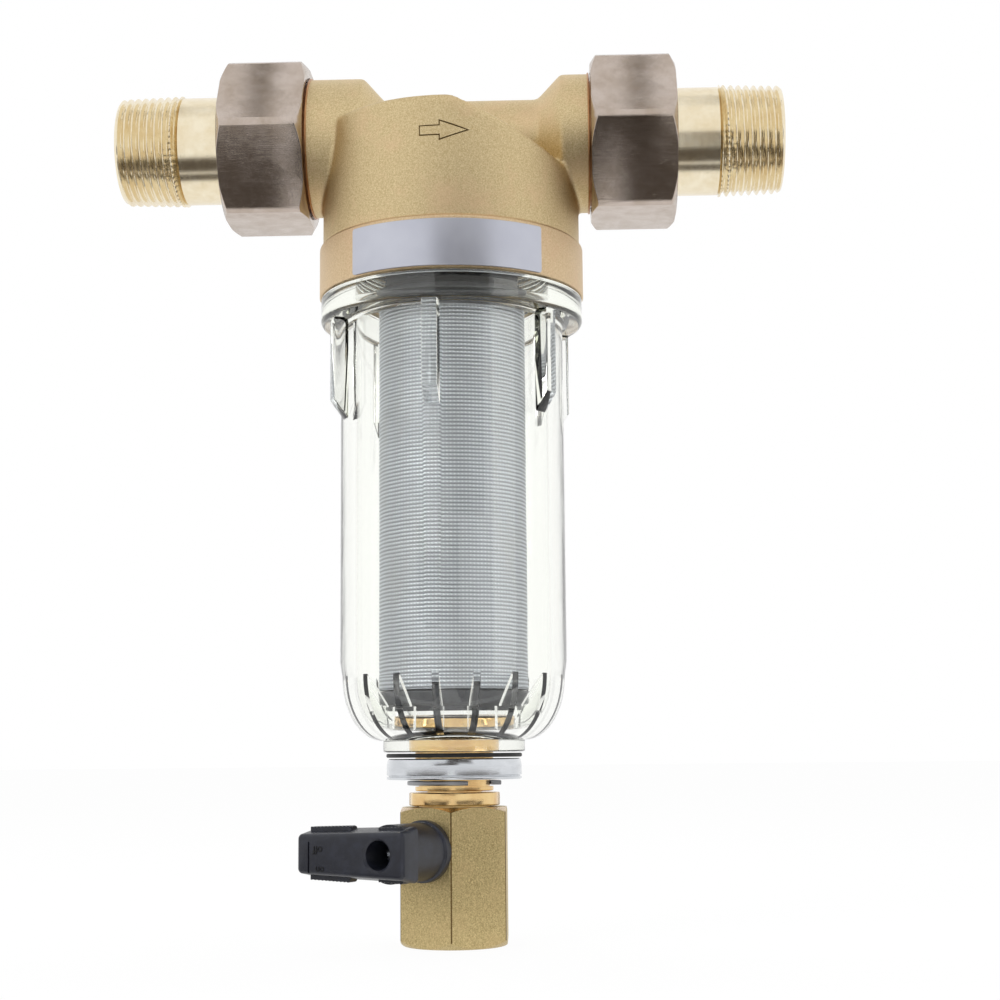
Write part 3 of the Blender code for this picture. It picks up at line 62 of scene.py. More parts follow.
HEAD_LOW, HEAD_HIGH = span("housing")
TAIL_LOW, TAIL_HIGH = span("outlet_nipple")
NUT_LOW, NUT_HIGH = span("outlet_union_nut")
LABEL_LOW, LABEL_HIGH = span("rating_label")
BOWL_LOW, BOWL_HIGH = span("bowl")
MESH_LOW, MESH_HIGH = span("screen_mesh")
CAP_LOW, CAP_HIGH = span("insert_end_cap")
COLLAR_HIGH = span("insert_collar")[1]
BUSH_LOW, BUSH_HIGH = span("drain_bush")
WASHER_LOW, WASHER_HIGH = span("drain_washer")
RING_LOW, RING_HIGH = span("steel_ring")
SPLIT_LOW, SPLIT_HIGH = span("retaining_ring")
VALVE_LOW, VALVE_HIGH = span("valve_body")
END_LOW, END_HIGH = span("valve_end_piece")

# Smoothness
ROUND_SIDES = 144        # of a turned piece
CLEAR_SIDES = 192        # of the clear bowl
THREAD_STEPS = 12        # along one turn of a thread
EDGE_STEPS = 4           # along a rounded edge
SHARP_ANGLE = 32.0       # degrees between faces that meet in a crisp edge
CASTING_VOXEL = 0.55
CASTING_SMOOTHING = 6

# Head
BAND_R = -HEAD_LOW.y
HEAD_R = BAND_R - 0.8
HEAD_TOP_Z = 2.2
HEAD_BOTTOM_Z = HEAD_LOW.z
BAND_TOP_Z = HEAD_BOTTOM_Z + 11.8
SLOPE_START_X = 1.5      # the top falls away to the right from here
SLOPE = 0.47
SOCKET_R = BAND_R - 3.6
SOCKET_TOP_Z = HEAD_BOTTOM_Z + 15.3
CHAMBER_R = SOCKET_R - 1.7
CHAMBER_SHOULDER_Z = -20.0
CHAMBER_ROOF_Z = -11.5
BOSS_R = 12.0
BOSS_END_Z = HEAD_BOTTOM_Z + 4.3
BOSS_BORE_R = 8.0
PASSAGE_R = 8.6
CROSS_PIPE_R = 10.7
NECK_R = 16.4
NECK_RING_R = 16.75
NECK_RING_W = 0.45
NECK_END = HEAD_R + 2.8
SPIGOT_R = 15.8
SPIGOT_FACE = HEAD_HIGH.x
LEFT_SHOULDER = (-20.5, -15.4)
RIGHT_SHOULDER = (21.0, 26.6)
DROP_X = -19.0
DROP_R = 6.5
WAY_TOP_Z = 1.5
PARALLEL_PITCH = 2.31

# Flow arrow: its neck is this far across the head's front, and this high
ARROW_NECK = (-0.6, -6.5)
ARROW_TAIL = 4.5
ARROW_TIP = 5.9
ARROW_TAIL_HALF = 0.95
ARROW_HEAD_HALF = 2.0
ARROW_RISE = 0.12
ARROW_GROOVE = 0.3
ARROW_GROOVE_DEPTH = 0.35
ARROW_SHADE_INSET = 0.12        # how far the painted shade strip in the arrow's groove lies below the head's surface

# Tailpieces and nuts, by distance from the bowl's axis
TAIL_END = TAIL_HIGH.x
TAIL_START = TAIL_LOW.x
TAIL_BORE_R = 10.0
TAIL_R = 12.75
TAIL_THREAD_R = 13.22
TAIL_THREAD_START = TAIL_END - 14.7
TAIL_TAPER = 1 / 32
TAIL_FLANGE_R = TAIL_HIGH.y
TAIL_FLANGE_W = 3.0
TAPER_PITCH = 1.81
TAPER_DEPTH = 1.16
NOTCH_COUNT = 54         # small notches round the first turns of the thread
NUT_START = NUT_LOW.x
NUT_END = NUT_HIGH.x
NUT_FLATS = NUT_HIGH.z - NUT_LOW.z
NUT_CORNER_R = NUT_HIGH.y
NUT_CORNER_FLAT = 1.7
NUT_MOUTH_R = 17.8
NUT_THREAD_R = 16.1
NUT_LIP_START = 50.4
NUT_LIP_R = 13.05

# Label
LABEL_R = 32.0
LABEL_T = 0.4
LABEL_ARC = 83.6
LABEL_TURN = 1.0
LABEL_CORNER = 0.5
LABEL_EDGE = 0.08
LABEL_STEPS = 220

# Bowl
BOWL_TURN = -6.5
NECK_THREAD_R = 27.4
FLANGE_R = radius_of("bowl")
FLANGE_TOP_Z = HEAD_BOTTOM_Z - 0.3
FLANGE_BOTTOM_Z = FLANGE_TOP_Z - 6.1
BOWL_R = 26.2
BOWL_BORE_R = 22.5
BOWL_FOOT_Z = BOWL_LOW.z
BOWL_FLOOR_Z = BOWL_FOOT_Z + 5.1
DOME_TOP_Z = BOWL_FLOOR_Z + 12.0
DOME_R = 25.7
BOWL_FOOT_R = 16.3
BOWL_HOLE_R = 10.7
LUG_COUNT = 6
LUG_R = 29.5
LUG_WIDTH = 3.6
LUG_END_Z = FLANGE_BOTTOM_Z - 19.3
LUG_FOOT_Z = LUG_END_Z - 4.3
RIB_COUNT = 16
RIB_WIDTH = 1.5
RIB_INNER_R = 16.3
RIB_LEDGE_R = 17.8       # ledge that carries the insert's cap
NECK_GROOVE_HIGH_Z = BOWL_HIGH.z - 3.1
NECK_GROOVE_LOW_Z = BOWL_HIGH.z - 5.9
DOME_STEPS = 24

# Insert
MESH_R = MESH_HIGH.x
MESH_RING_PITCH = 0.877
MESH_RING_DEPTH = 0.11
MESH_WIRES = 130.0
CAP_R = radius_of("insert_end_cap")
PLUG_R = 14.3            # of cap and collar, inside the sleeve
PLUG_BORE_R = 12.6
COLLAR_NECK_R = 15.5
SEAL_GROOVE_LOW = -31.9
SEAL_GROOVE_HIGH = -29.1
SEAL_GROOVE_DEPTH = 1.8

# Drain
BUSH_BORE_R = 5.2
BUSH_FLANGE_R = 14.0
BUSH_FLANGE_T = 2.6
BUSH_NECK_R = 10.4
BUSH_LOWER_R = 9.0
BUSH_GROOVE_R = 8.2
BUSH_SOCKET_R = 6.6
BUSH_SOCKET_Z = -145.7
RUNNING_GAP = 0.3
WASHER_R = radius_of("drain_washer")
RING_R = radius_of("steel_ring")
RING_BORE_R = 9.3
SPLIT_R = 10.8
SPLIT_BORE_R = 8.5
SPLIT_OPENING = 65.0
SPLIT_TURN = 52.5
SPLIT_STEPS = 120
COLLAR_R = 10.4
COLLAR_FLATS = 12
END_SCREW_R = 8.2
END_PLUG_R = 6.3
VALVE_FLATS = VALVE_HIGH.x - VALVE_LOW.x
VALVE_TOP_Z = VALVE_HIGH.z
VALVE_BOTTOM_Z = VALVE_LOW.z
VALVE_CORNER_FLAT = 0.35        # width of the flat on each corner
VALVE_SHADE_TURN = 12.0   # most degrees that the painted shade's faces look off their corner
VALVE_CHAMFER = 2.5
VALVE_WAY_R = 4.3
VALVE_CHAMBER_R = 7.7
VALVE_MOUTH_R = 8.5
VALVE_SEAT_Z = -174.1
VALVE_CHAMBER_TOP_Z = -159.2
DRAIN_SOCKET_R = 7.6
DRAIN_SOCKET_DEPTH = 11.0
DRAIN_PITCH = 1.8
STEM_Z = -166.5
STEM_TURN = -30.0
STEM_BOSS_R = 5.2
STEM_BOSS_END = 16.5
STEM_WAY_R = 3.8

# Lever, in its own frame: along the arm, across it, and out from the valve's axis
LEVER_BACK = 24.6
LEVER_FRONT = 30.5
LEVER_HEEL = 7.0
LEVER_REACH = 21.6
LEVER_HEIGHT = 10.2
LEVER_TIP_HEIGHT = 8.7
LEVER_ROUND = 1.2
LEVER_FLARE = 0.9
LEVER_LINE = (18.1, 18.55, -2.6, 4.4)    # engraved near the tip
GRIPS = ((20.0, 11.0, 11), (1.5, 6.5, 7))    # start, length and tooth count
WORD_PLACES = {"off": (15.8, -0.9, 2.5), "on": (15.2, 3.4, 2.3)}    # along, across, size
HUB_START = 11.3
HUB_R = 6.4
HUB_RIM_R = 6.9
HUB_RIM_END = 13.5
STEM_SQUARE = 5.5
STEM_SQUARE_END = 21.3
WELL_R = 3.2
WEB = 22.3
SCREW_R = 1.25
SCREW_START = 15.8
SCREW_HEAD_R = 2.7
SCREW_HEAD_T = 1.8
RECESS = (1.6, 0.35)     # half the length and width of its crossed slots
RECESS_DEPTH = 1.1

# Photograph's camera
CAMERA_PLACE = (25.243, -417.827, -144.928)
CAMERA_PITCH = 7.996
CAMERA_YAW = -1.942
CAMERA_ROLL = -0.533
CAMERA_LENS = 64.824
CAMERA_SENSOR = 36.0

# Studio, in metres
WORLD_LIGHT = 0.72       # of the white room on matt surfaces
FLOOR_LIFT = 0.95        # how far the floor is lifted to the background's white
FLOOR_REACH = 6.0
CARD_COLOUR = (72, 66, 60)
CARD_SIDES = {"left": (-0.35, -0.030), "right": (0.020, 0.35)}
CARD_FRONT = (-0.315, -0.104)
CARD_UNDER = (-0.084, -0.030)
OVER_COLOUR = (140, 136, 132)
OVER_SIDES = {"left": (-0.115, -0.070), "right": (0.048, 0.085)}
OVER_DEPTHS = (-0.16, 0.02)
OVER_HEIGHT = 0.3
MESH_CARD = (-0.020, 0.080, -0.125, -0.096, 0.004)     # left, right, depth, low, high
RING_CARD = (-0.070, 0.020, -0.125, -0.124, -0.098)
# Each lamp's place, aim, size and power
LAMPS = {"key": ((-0.55, -0.55, 0.45), (0, 0, -0.06), (0.45, 0.45), 3.0),
         "fill": ((0.65, -0.35, 0.15), (0, 0, -0.08), (0.4, 0.5), 1.2),
         "top": ((0.05, 0.15, 0.6), (0, 0, -0.05), (0.6, 0.3), 2.0)}

# Clear plastic
CLEAR_DEPTH_COLOUR = (0.80, 0.92, 0.20, 1.0)
CLEAR_DENSITY = 4.0      # per metre of plastic

PIPE_RIGHT = Matrix.Rotation(radians(90), 4, "Y")
PIPE_LEFT = Matrix.Rotation(radians(-90), 4, "Y")
UPRIGHT = Matrix.Rotation(radians(90), 4, "X")         # an outline's height becomes Z
CORNER_FRONT = Matrix.Rotation(radians(90), 4, "Z")    # of a hexagon
BOWL_MATRIX = Matrix.Rotation(radians(BOWL_TURN - 90), 4, "Z")


def stem_matrix():
    """Local Z out along the valve's stem, local X along the lever."""
    out = Vector((sin(radians(STEM_TURN)), -cos(radians(STEM_TURN)), 0))
    across = Vector((0, 0, -1))
    along = across.cross(out)
    turn = Matrix((along, across, out)).transposed().to_4x4()
    return Matrix.Translation((0, 0, STEM_Z)) @ turn


def place_object(name, data):
    """New object in the scene."""
    obj = bpy.data.objects.new(name, data)
    bpy.context.scene.collection.objects.link(obj)
    return obj


# Mesh tools


def soften(corners):
    """Outline from (x, y) or (x, y, round) corners, with those that say so rounded."""
    outline = []
    for k, corner in enumerate(corners):
        here = Vector(corner[:2])
        if len(corner) < 3:
            outline.append(tuple(here))
            continue
        before = Vector(corners[k - 1][:2]) - here
        after = Vector(corners[(k + 1) % len(corners)][:2]) - here
        half = before.angle(after) / 2
        reach = min(corner[2] / tan(half), 0.49 * before.length, 0.49 * after.length)
        start = here + before.normalized() * reach
        end = here + after.normalized() * reach
        centre = here + (before.normalized() + after.normalized()).normalized() * reach / cos(half)
        for i in range(EDGE_STEPS + 1):
            spoke = (start - centre).slerp(end - centre, i / EDGE_STEPS).normalized()
            outline.append(tuple(centre + spoke * (start - centre).length))
    return outline


def solid(name, points, faces, matrix=None):
    """Closed mesh object from points in millimetres, shaded smooth between crisp edges."""
    mesh = bpy.data.meshes.new(name)
    mesh.from_pydata([tuple(point) for point in points], [], faces)
    made = bmesh.new()
    made.from_mesh(mesh)
    bmesh.ops.remove_doubles(made, verts=made.verts, dist=0.0005)
    loose = [edge for edge in made.edges if not edge.link_faces]
    bmesh.ops.delete(made, geom=loose, context="EDGES")
    bmesh.ops.recalc_face_normals(made, faces=made.faces)
    if matrix is not None:
        bmesh.ops.transform(made, matrix=matrix, verts=made.verts)
    bmesh.ops.scale(made, vec=(MM, MM, MM), verts=made.verts)
    made.to_mesh(mesh)
    made.free()
    return shade(place_object(name, mesh))


def shade(obj):
    """Smooth shading between crisp edges."""
    obj.data.shade_smooth()
    obj.data.set_sharp_from_angle(angle=radians(SHARP_ANGLE))
    return obj


def turned(name, outline, matrix=None, sides=ROUND_SIDES, shape=None):
    """Closed outline of (radius, height) points turned about local Z.

    shape(angle, radius, height) may give another radius, as for a thread.
    """
    points = []
    faces = []
    rows = len(outline)
    for side in range(sides):
        angle = 2 * pi * side / sides
        after = (side + 1) % sides
        for row, (radius, height) in enumerate(outline):
            reach = shape(angle, radius, height) if shape else radius
            points.append((reach * cos(angle), reach * sin(angle), height))
            below = (row + 1) % rows
            faces.append((side * rows + row, side * rows + below,
                          after * rows + below, after * rows + row))
    return solid(name, points, faces, matrix)


def arc_strip(name, outline_at, start, sweep, steps, matrix=None):
    """Outline that may change with the angle, turned through part of a circle."""
    points = []
    faces = []
    for step in range(steps + 1):
        angle = radians(start + sweep * step / steps)
        outline = outline_at(step / steps)
        rows = len(outline)
        points += [(radius * cos(angle), radius * sin(angle), height)
                   for radius, height in outline]
        if step < steps:
            for row in range(rows):
                below = (row + 1) % rows
                faces.append((step * rows + row, step * rows + below,
                              (step + 1) * rows + below, (step + 1) * rows + row))
    faces.append(tuple(range(rows)))
    faces.append(tuple(range(steps * rows, (steps + 1) * rows)))
    return solid(name, points, faces, matrix)


def prism(name, outline, low, high, matrix=None):
    """Flat (x, y) outline given thickness along local Z."""
    count = len(outline)
    points = [(x, y, low) for x, y in outline] + [(x, y, high) for x, y in outline]
    faces = [tuple(range(count)), tuple(range(count, 2 * count))]
    for k in range(count):
        n = (k + 1) % count
        faces.append((k, n, count + n, count + k))
    return solid(name, points, faces, matrix)


def loft(name, sections, matrix=None):
    """Skin over lists of points that have equal counts, closed at both ends."""
    count = len(sections[0])
    points = [point for section in sections for point in section]
    faces = [tuple(range(count)), tuple(range(len(points) - count, len(points)))]
    for level in range(len(sections) - 1):
        for k in range(count):
            n = (k + 1) % count
            faces.append((level * count + k, level * count + n,
                          (level + 1) * count + n, (level + 1) * count + k))
    return solid(name, points, faces, matrix)


def bake(obj):
    """Apply an object's modifiers to its own mesh."""
    seen = obj.evaluated_get(bpy.context.evaluated_depsgraph_get())
    mesh = bpy.data.meshes.new_from_object(seen)
    obj.modifiers.clear()
    obj.data = mesh
    return shade(obj)


def combine(target, tool, operation):
    """Boolean of two closed pieces; the tool is used up."""
    change = target.modifiers.new("change", "BOOLEAN")
    change.operation = operation
    change.object = tool
    bake(target)
    bpy.data.objects.remove(tool)
    return target


def cut(target, tool):
    """Take the tool's form away from the target."""
    return combine(target, tool, "DIFFERENCE")


def join(target, tool):
    """Add the tool's form to the target."""
    return combine(target, tool, "UNION")


def ease(obj, width, steps=2):
    """Small round along every crisp edge."""
    change = obj.modifiers.new("ease", "BEVEL")
    change.width = width * MM
    change.segments = steps
    change.limit_method = "ANGLE"
    change.angle_limit = radians(SHARP_ANGLE)
    return bake(obj)


def rectangle(left, right, low, high):
    """Four corners of a rectangle, counted round."""
    return [(left, low), (right, low), (right, high), (left, high)]


def rod(radius, low, high):
    """Outline of a plain round tool."""
    return [(0, low), (radius, low), (radius, high), (0, high)]


def hexagon(across_flats, corner_flat):
    """Hexagon with its corners cut to narrow flats; a corner points along +X."""
    outline = []
    apothem = across_flats / 2
    for k in range(6):
        corner = radians(60 * k)
        reach = apothem / cos(radians(30)) - corner_flat / 2 * tan(radians(30))
        for side in (-1, 1):
            outline.append((reach * cos(corner) - side * corner_flat / 2 * sin(corner),
                            reach * sin(corner) + side * corner_flat / 2 * cos(corner)))
    return outline


def crest(turns):
    """Height of a thread, 0 at its root and 1 at its crest, over the turns passed."""
    part = abs(2 * (turns - floor(turns)) - 1)
    return part * part * (3 - 2 * part)


def fade(value, start, end):
    """0 before start, 1 after end, and an even step between."""
    share = min(1.0, max(0.0, (value - start) / (end - start)))
    return share * share * (3 - 2 * share)


def thread_on(side_r, depth, pitch, start=None, end=None):
    """Shape for turned(): a thread on the side of one radius, cut inwards if depth is below 0.

    It fades in between the two heights of start, and out between those of end.
    """
    def shape(angle, radius, height):
        """Radius with the thread in it."""
        if abs(radius - side_r) > 0.01:
            return radius
        worn = fade(height, *start) if start else 1
        if end:
            worn *= 1 - fade(height, *end)
        part = crest(height / pitch - angle / (2 * pi))
        return radius + depth * worn * (part if depth > 0 else 1 - part)

    return shape


def run(radius_low, low, radius_high, high, step):
    """Points along a straight side, close enough for a thread to bend it."""
    count = max(2, int((high - low) / step))
    return [(radius_low + (radius_high - radius_low) * i / count, low + (high - low) * i / count)
            for i in range(count + 1)]


# Materials


def linear(*colour):
    """Colour as seen on a screen, 0 to 255, as the shader's linear value."""
    parts = []
    for value in colour:
        share = value / 255
        parts.append(share / 12.92 if share <= 0.04045 else ((share + 0.055) / 1.055) ** 2.4)
    return (*parts, 1.0)


class Finish:
    """Principled material with textures in the object's own coordinates."""

    def __init__(self, name, colour, roughness, metallic=0.0, **sockets):
        """Even colour from 0 to 255, roughness, metallic share and other sockets by name."""
        self.material = bpy.data.materials.new(name)
        self.material.use_nodes = True
        self.tree = self.material.node_tree
        self.shader = self.tree.nodes["Principled BSDF"]
        self.set(self.shader, "Base Color", linear(*colour))
        self.set(self.shader, "Roughness", roughness)
        self.set(self.shader, "Metallic", metallic)
        for socket, value in sockets.items():
            self.set(self.shader, socket.replace("_", " "), value)
        self.place = self.tree.nodes.new("ShaderNodeTexCoord").outputs["Object"]

    def set(self, node, socket, value):
        """Link another node's output to a socket, or give the socket a value."""
        if isinstance(value, bpy.types.NodeSocket):
            self.tree.links.new(value, node.inputs[socket])
        else:
            node.inputs[socket].default_value = value

    def node(self, kind, **sockets):
        """New node, with its sockets linked or given values."""
        node = self.tree.nodes.new(kind)
        for socket, value in sockets.items():
            self.set(node, socket.replace("_", " "), value)
        return node

    def stretched(self, x, y, z):
        """Object coordinates in millimetres, stretched along an axis by a share below 1."""
        mapping = self.node("ShaderNodeMapping", Vector=self.place)
        mapping.inputs["Scale"].default_value = (x / MM, y / MM, z / MM)
        return mapping.outputs["Vector"]

    def noise(self, place, per_mm, detail=4.0, roughness=0.55):
        """Cloudy texture, with so many clouds to a millimetre."""
        return self.node("ShaderNodeTexNoise", Vector=place, Scale=per_mm, Detail=detail,
                         Roughness=roughness).outputs["Fac"]

    def cells(self, place, per_mm, randomness=1.0):
        """Distance from scattered spots, with so many spots to a millimetre."""
        return self.node("ShaderNodeTexVoronoi", Vector=place, Scale=per_mm,
                         Randomness=randomness).outputs["Distance"]

    def limits(self, value, low, high, to_low=0.0, to_high=1.0):
        """Texture value carried from one range to another."""
        return self.node("ShaderNodeMapRange", Value=value, From_Min=low, From_Max=high,
                         To_Min=to_low, To_Max=to_high).outputs["Result"]

    def arithmetic(self, operation, first, second=0.0):
        """One step of arithmetic with texture values."""
        node = self.tree.nodes.new("ShaderNodeMath")
        node.operation = operation
        self.set(node, 0, first)
        self.set(node, 1, second)
        return node.outputs[0]

    def mix(self, share, first, second):
        """Mixture of two colours, each a texture or 0 to 255 values."""
        node = self.tree.nodes.new("ShaderNodeMix")
        node.data_type = "RGBA"
        self.set(node, "Factor", share)
        for socket, value in ((6, first), (7, second)):
            self.set(node, socket, linear(*value) if isinstance(value, tuple) else value)
        return node.outputs[2]

    def done(self, colour, roughness, *layers):
        """Material with these textures, and relief from (height in mm, texture value) layers."""
        self.set(self.shader, "Base Color", colour)
        self.set(self.shader, "Roughness", roughness)
        normal = None
        for depth, value in layers:
            below = {"Normal": normal} if normal else {}
            bump = self.node("ShaderNodeBump", Height=value, Distance=depth * MM, **below)
            normal = bump.outputs["Normal"]
        self.set(self.shader, "Normal", normal)
        return self.material


def sand_cast(name, light, dark, tint):
    """Cast brass with a sandy grain, small pits and coppery patches."""
    finish = Finish(name, light, 0.45, 1.0)
    even = finish.stretched(1, 1, 1)
    patches = finish.noise(even, 0.07, 5.0, 0.65)
    speckle = finish.noise(even, 3.0, 5.0, 0.75)
    grain = finish.noise(even, 4.0, 6.0, 0.7)
    pits = finish.limits(finish.cells(even, 0.75), 0.0, 0.22)
    tone = finish.mix(finish.limits(speckle, 0.38, 0.66), dark, light)
    tone = finish.mix(finish.limits(patches, 0.5, 0.75, 0.0, 0.7), tone, tint)
    return finish.done(tone,
                       finish.limits(speckle, 0.3, 0.7, 0.36, 0.56),
                       (0.07, grain), (0.04, pits))


def machined(name, light, dark, axis, roughness, line=0.012):
    """Turned or planed brass, with fine lines round or along the given axis."""
    finish = Finish(name, light, roughness, 1.0)
    scale = {"X": (1, 0.03, 0.03), "Z": (0.03, 0.03, 1), "along X": (0.03, 1, 1)}[axis]
    lines = finish.noise(finish.stretched(*scale), 7.0, 4.0, 0.7)
    even = finish.stretched(1, 1, 1)
    patches = finish.noise(even, 0.18, 4.0, 0.6)
    nicks = finish.limits(finish.cells(even, 0.45), 0.0, 0.1)
    tone = finish.mix(finish.limits(patches, 0.35, 0.7), light, dark)
    return finish.done(tone,
                       finish.limits(lines, 0.3, 0.75, roughness * 0.75, roughness * 1.4),
                       (line, lines), (0.02, nicks))


def make_foil():
    """Silver-lilac label with a satin print coat and faint creases."""
    finish = Finish("label_foil", (196, 198, 208), 0.38, 0.8)
    even = finish.stretched(1, 1, 1)
    creases = finish.noise(even, 0.10, 2.0)
    fibre = finish.noise(finish.stretched(1, 1, 0.15), 5.0, 3.0)
    tone = finish.mix(finish.limits(creases, 0.35, 0.65), (196, 198, 208), (189, 191, 202))
    return finish.done(tone,
                       finish.limits(fibre, 0.3, 0.7, 0.28, 0.42),
                       (0.02, creases), (0.004, fibre))


def make_clear():
    """Clear moulded plastic with slight flow waves; long ways through it look yellow-green."""
    finish = Finish("clear_plastic", (255, 255, 254), 0.02, 0.0, Transmission_Weight=1.0, IOR=1.54)
    even = finish.stretched(1, 1, 0.5)
    waves = finish.noise(even, 0.09, 2.0)
    haze = finish.noise(finish.stretched(1, 1, 1), 0.35, 4.0)
    finish.done(finish.mix(haze, (255, 255, 254), (253, 254, 252)),
                finish.limits(haze, 0.35, 0.7, 0.012, 0.04), (0.03, waves))
    depth = finish.node("ShaderNodeVolumeAbsorption", Color=CLEAR_DEPTH_COLOUR,
                        Density=CLEAR_DENSITY)
    output = finish.tree.nodes["Material Output"]
    finish.tree.links.new(depth.outputs["Volume"], output.inputs["Volume"])
    return finish.material


def make_wire():
    """Woven stainless wire: upright wires show as dots along the modelled rings, painted lighter as
    highlights on the crests; the troughs between the rings carry painted shade.
    """
    finish = Finish("steel_mesh", (190, 192, 194), 0.4, 1.0)
    parts = finish.node("ShaderNodeSeparateXYZ", Vector=finish.stretched(1, 1, 1)).outputs
    angle = finish.arithmetic("ARCTAN2", parts["Y"], parts["X"])
    wires = finish.arithmetic("SINE", finish.arithmetic("MULTIPLY", angle, MESH_WIRES))
    rings = finish.arithmetic("MULTIPLY", parts["Z"], 2 * pi / MESH_RING_PITCH)
    rings = finish.arithmetic("COSINE", rings)
    dots = finish.arithmetic("MULTIPLY", finish.limits(wires, -1.0, 1.0),
                             finish.limits(rings, -0.3, 1.0))
    weave = finish.cells(finish.stretched(1, 1, 1), 4.5, 0.4)
    stain = finish.noise(finish.stretched(1, 1, 0.4), 0.12, 3.0)
    # painted shade: darker in the troughs between the rings, lighter on their crests
    tone = finish.mix(finish.limits(rings, -0.9, 0.5), (140, 143, 149), (194, 199, 207))
    # painted highlights: lighter dots where the upright wires cross the ring crests
    tone = finish.mix(finish.limits(dots, 0.3, 0.9), tone, (226, 230, 236))
    tone = finish.mix(finish.limits(stain, 0.5, 0.8, 0.0, 0.3), tone, (176, 174, 170))
    return finish.done(tone,
                       finish.limits(weave, 0.1, 0.6, 0.3, 0.45),
                       (0.06, dots), (0.05, weave))


def make_stainless(name, colour=(205, 208, 212), roughness=0.16):
    """Turned stainless steel with fine lines round it."""
    finish = Finish(name, colour, roughness, 1.0)
    lines = finish.noise(finish.stretched(0.03, 0.03, 1), 9.0, 4.0, 0.7)
    smear = finish.noise(finish.stretched(0.3, 0.3, 1), 0.5, 4.0)
    pale = tuple(min(255, value + 14) for value in colour)
    return finish.done(finish.mix(finish.limits(smear, 0.4, 0.7), colour, pale),
                       finish.limits(lines, 0.3, 0.7, roughness * 0.8, roughness * 1.6),
                       (0.008, lines))


def make_moulded(name, colour, pale, roughness, grain_height=0.03):
    """Moulded plastic with a fine grain and worn, paler patches."""
    finish = Finish(name, colour, roughness, 0.0, Specular_IOR_Level=0.5)
    even = finish.stretched(1, 1, 1)
    grain = finish.noise(even, 4.5, 4.0, 0.6)
    wear = finish.noise(even, 0.3, 4.0, 0.6)
    return finish.done(finish.mix(finish.limits(wear, 0.45, 0.75), colour, pale),
                       finish.limits(grain, 0.3, 0.7, roughness * 0.8, roughness * 1.3),
                       (grain_height, grain))


def make_materials():
    """Every finish of the filter, by the record's slot or by use."""
    return {
        "cast_brass": sand_cast("cast_brass", (236, 218, 176), (196, 172, 126), (228, 196, 158)),
        "band_cast": sand_cast("band_cast", (236, 214, 178), (206, 178, 138), (226, 192, 158)),
        "rough_brass": sand_cast("rough_brass", (226, 206, 154), (164, 144, 98), (210, 184, 136)),
        # painted shade: dark brass laid in the arrow's groove and on the valve's corners, standing
        # in for the shade there
        "painted_shade_brass": sand_cast("painted_shade_brass", (128, 106, 70), (92, 74, 46), (110, 88, 60)),
        "edge_brass": machined("edge_brass", (196, 148, 106), (168, 120, 80), "X", 0.3),
        "tail_brass": machined("tail_brass", (243, 232, 206), (233, 217, 184), "X", 0.2),
        "dark_brass": machined("dark_brass", (198, 185, 175), (178, 163, 149), "along X", 0.2,
                               0.02),
        "polished_brass": machined("polished_brass", (236, 206, 150), (216, 176, 120), "Z", 0.16),
        "label_foil": make_foil(),
        "clear_plastic": make_clear(),
        "steel_mesh": make_wire(),
        "stainless": make_stainless("stainless"),
        "split_steel": make_stainless("split_steel", (150, 150, 152), 0.3),
        "dark_plastic": make_moulded("dark_plastic", (62, 64, 70), (84, 86, 92), 0.3),
        "black_plastic": make_moulded("black_plastic", (28, 30, 39), (40, 43, 55), 0.34),
        "word_plastic": make_moulded("word_plastic", (8, 8, 10), (14, 14, 18), 0.6),
        "white_plastic": make_moulded("white_plastic", (236, 234, 226), (220, 216, 204), 0.3),
        "rubber": make_moulded("rubber", (18, 18, 18), (34, 34, 34), 0.55),
        "fibre": make_moulded("fibre", (150, 60, 44), (176, 92, 70), 0.8, 0.08),
    }


FINISHES = make_materials()

# Each visible piece's finish, body, slot and the CAD node that it replaces
PIECES = {
    "head_casting": ("cast_brass", "head", "cast_brass", "housing"),
    "head_band": ("band_cast", "head", "cast_brass", "housing"),
    "flow_arrow": ("cast_brass", "head", "cast_brass", "housing"),
    # the arrow's outline is painted shade in its groove
    "arrow_outline": ("painted_shade_brass", "head", "cast_brass", "housing"),
    "inlet_spigot": ("edge_brass", "head", "cast_brass", "housing"),
    "outlet_spigot": ("edge_brass", "head", "cast_brass", "housing"),
    "rating_label_foil": ("label_foil", "head", "label_foil", "rating_label"),
    "inlet_nipple_brass": ("tail_brass", "inlet_tail", "polished_brass", "inlet_nipple"),
    "outlet_nipple_brass": ("tail_brass", "outlet_tail", "polished_brass", "outlet_nipple"),
    "inlet_nut_brass": ("dark_brass", "inlet_nut", "dark_brass", "inlet_union_nut"),
    "outlet_nut_brass": ("dark_brass", "outlet_nut", "dark_brass", "outlet_union_nut"),
    "clear_bowl": ("clear_plastic", "bowl_unit", "clear_plastic", "bowl"),
    "bowl_seal_ring": ("rubber", "bowl_unit", "rubber", "bowl_oring"),
    "wire_sleeve": ("steel_mesh", "filter_insert", "steel_mesh", "screen_mesh"),
    "end_cap_plastic": ("dark_plastic", "filter_insert", "dark_plastic", "insert_end_cap"),
    "insert_collar_plastic": ("dark_plastic", "filter_insert", "dark_plastic", "insert_collar"),
    "drain_bush_brass": ("polished_brass", "bowl_unit", "polished_brass", "drain_bush"),
    "washer_rubber": ("rubber", "bowl_unit", "rubber", "drain_washer"),
    "bright_ring": ("stainless", "bowl_unit", "stainless", "steel_ring"),
    "split_ring_steel": ("split_steel", "bowl_unit", "stainless", "retaining_ring"),
    "end_collar_brass": ("polished_brass", "bowl_unit", "polished_brass", "valve_end_piece"),
    "valve_hexagon": ("rough_brass", "bowl_unit", "rough_brass", "valve_body"),
    "lever_plastic": ("black_plastic", "valve_lever", "black_plastic", "lever"),
    "word_off": ("word_plastic", "valve_lever", "black_plastic", "lever"),
    "word_on": ("word_plastic", "valve_lever", "black_plastic", "lever"),
    "lever_screw": ("stainless", "valve_lever", "stainless", "handle_screw"),
}


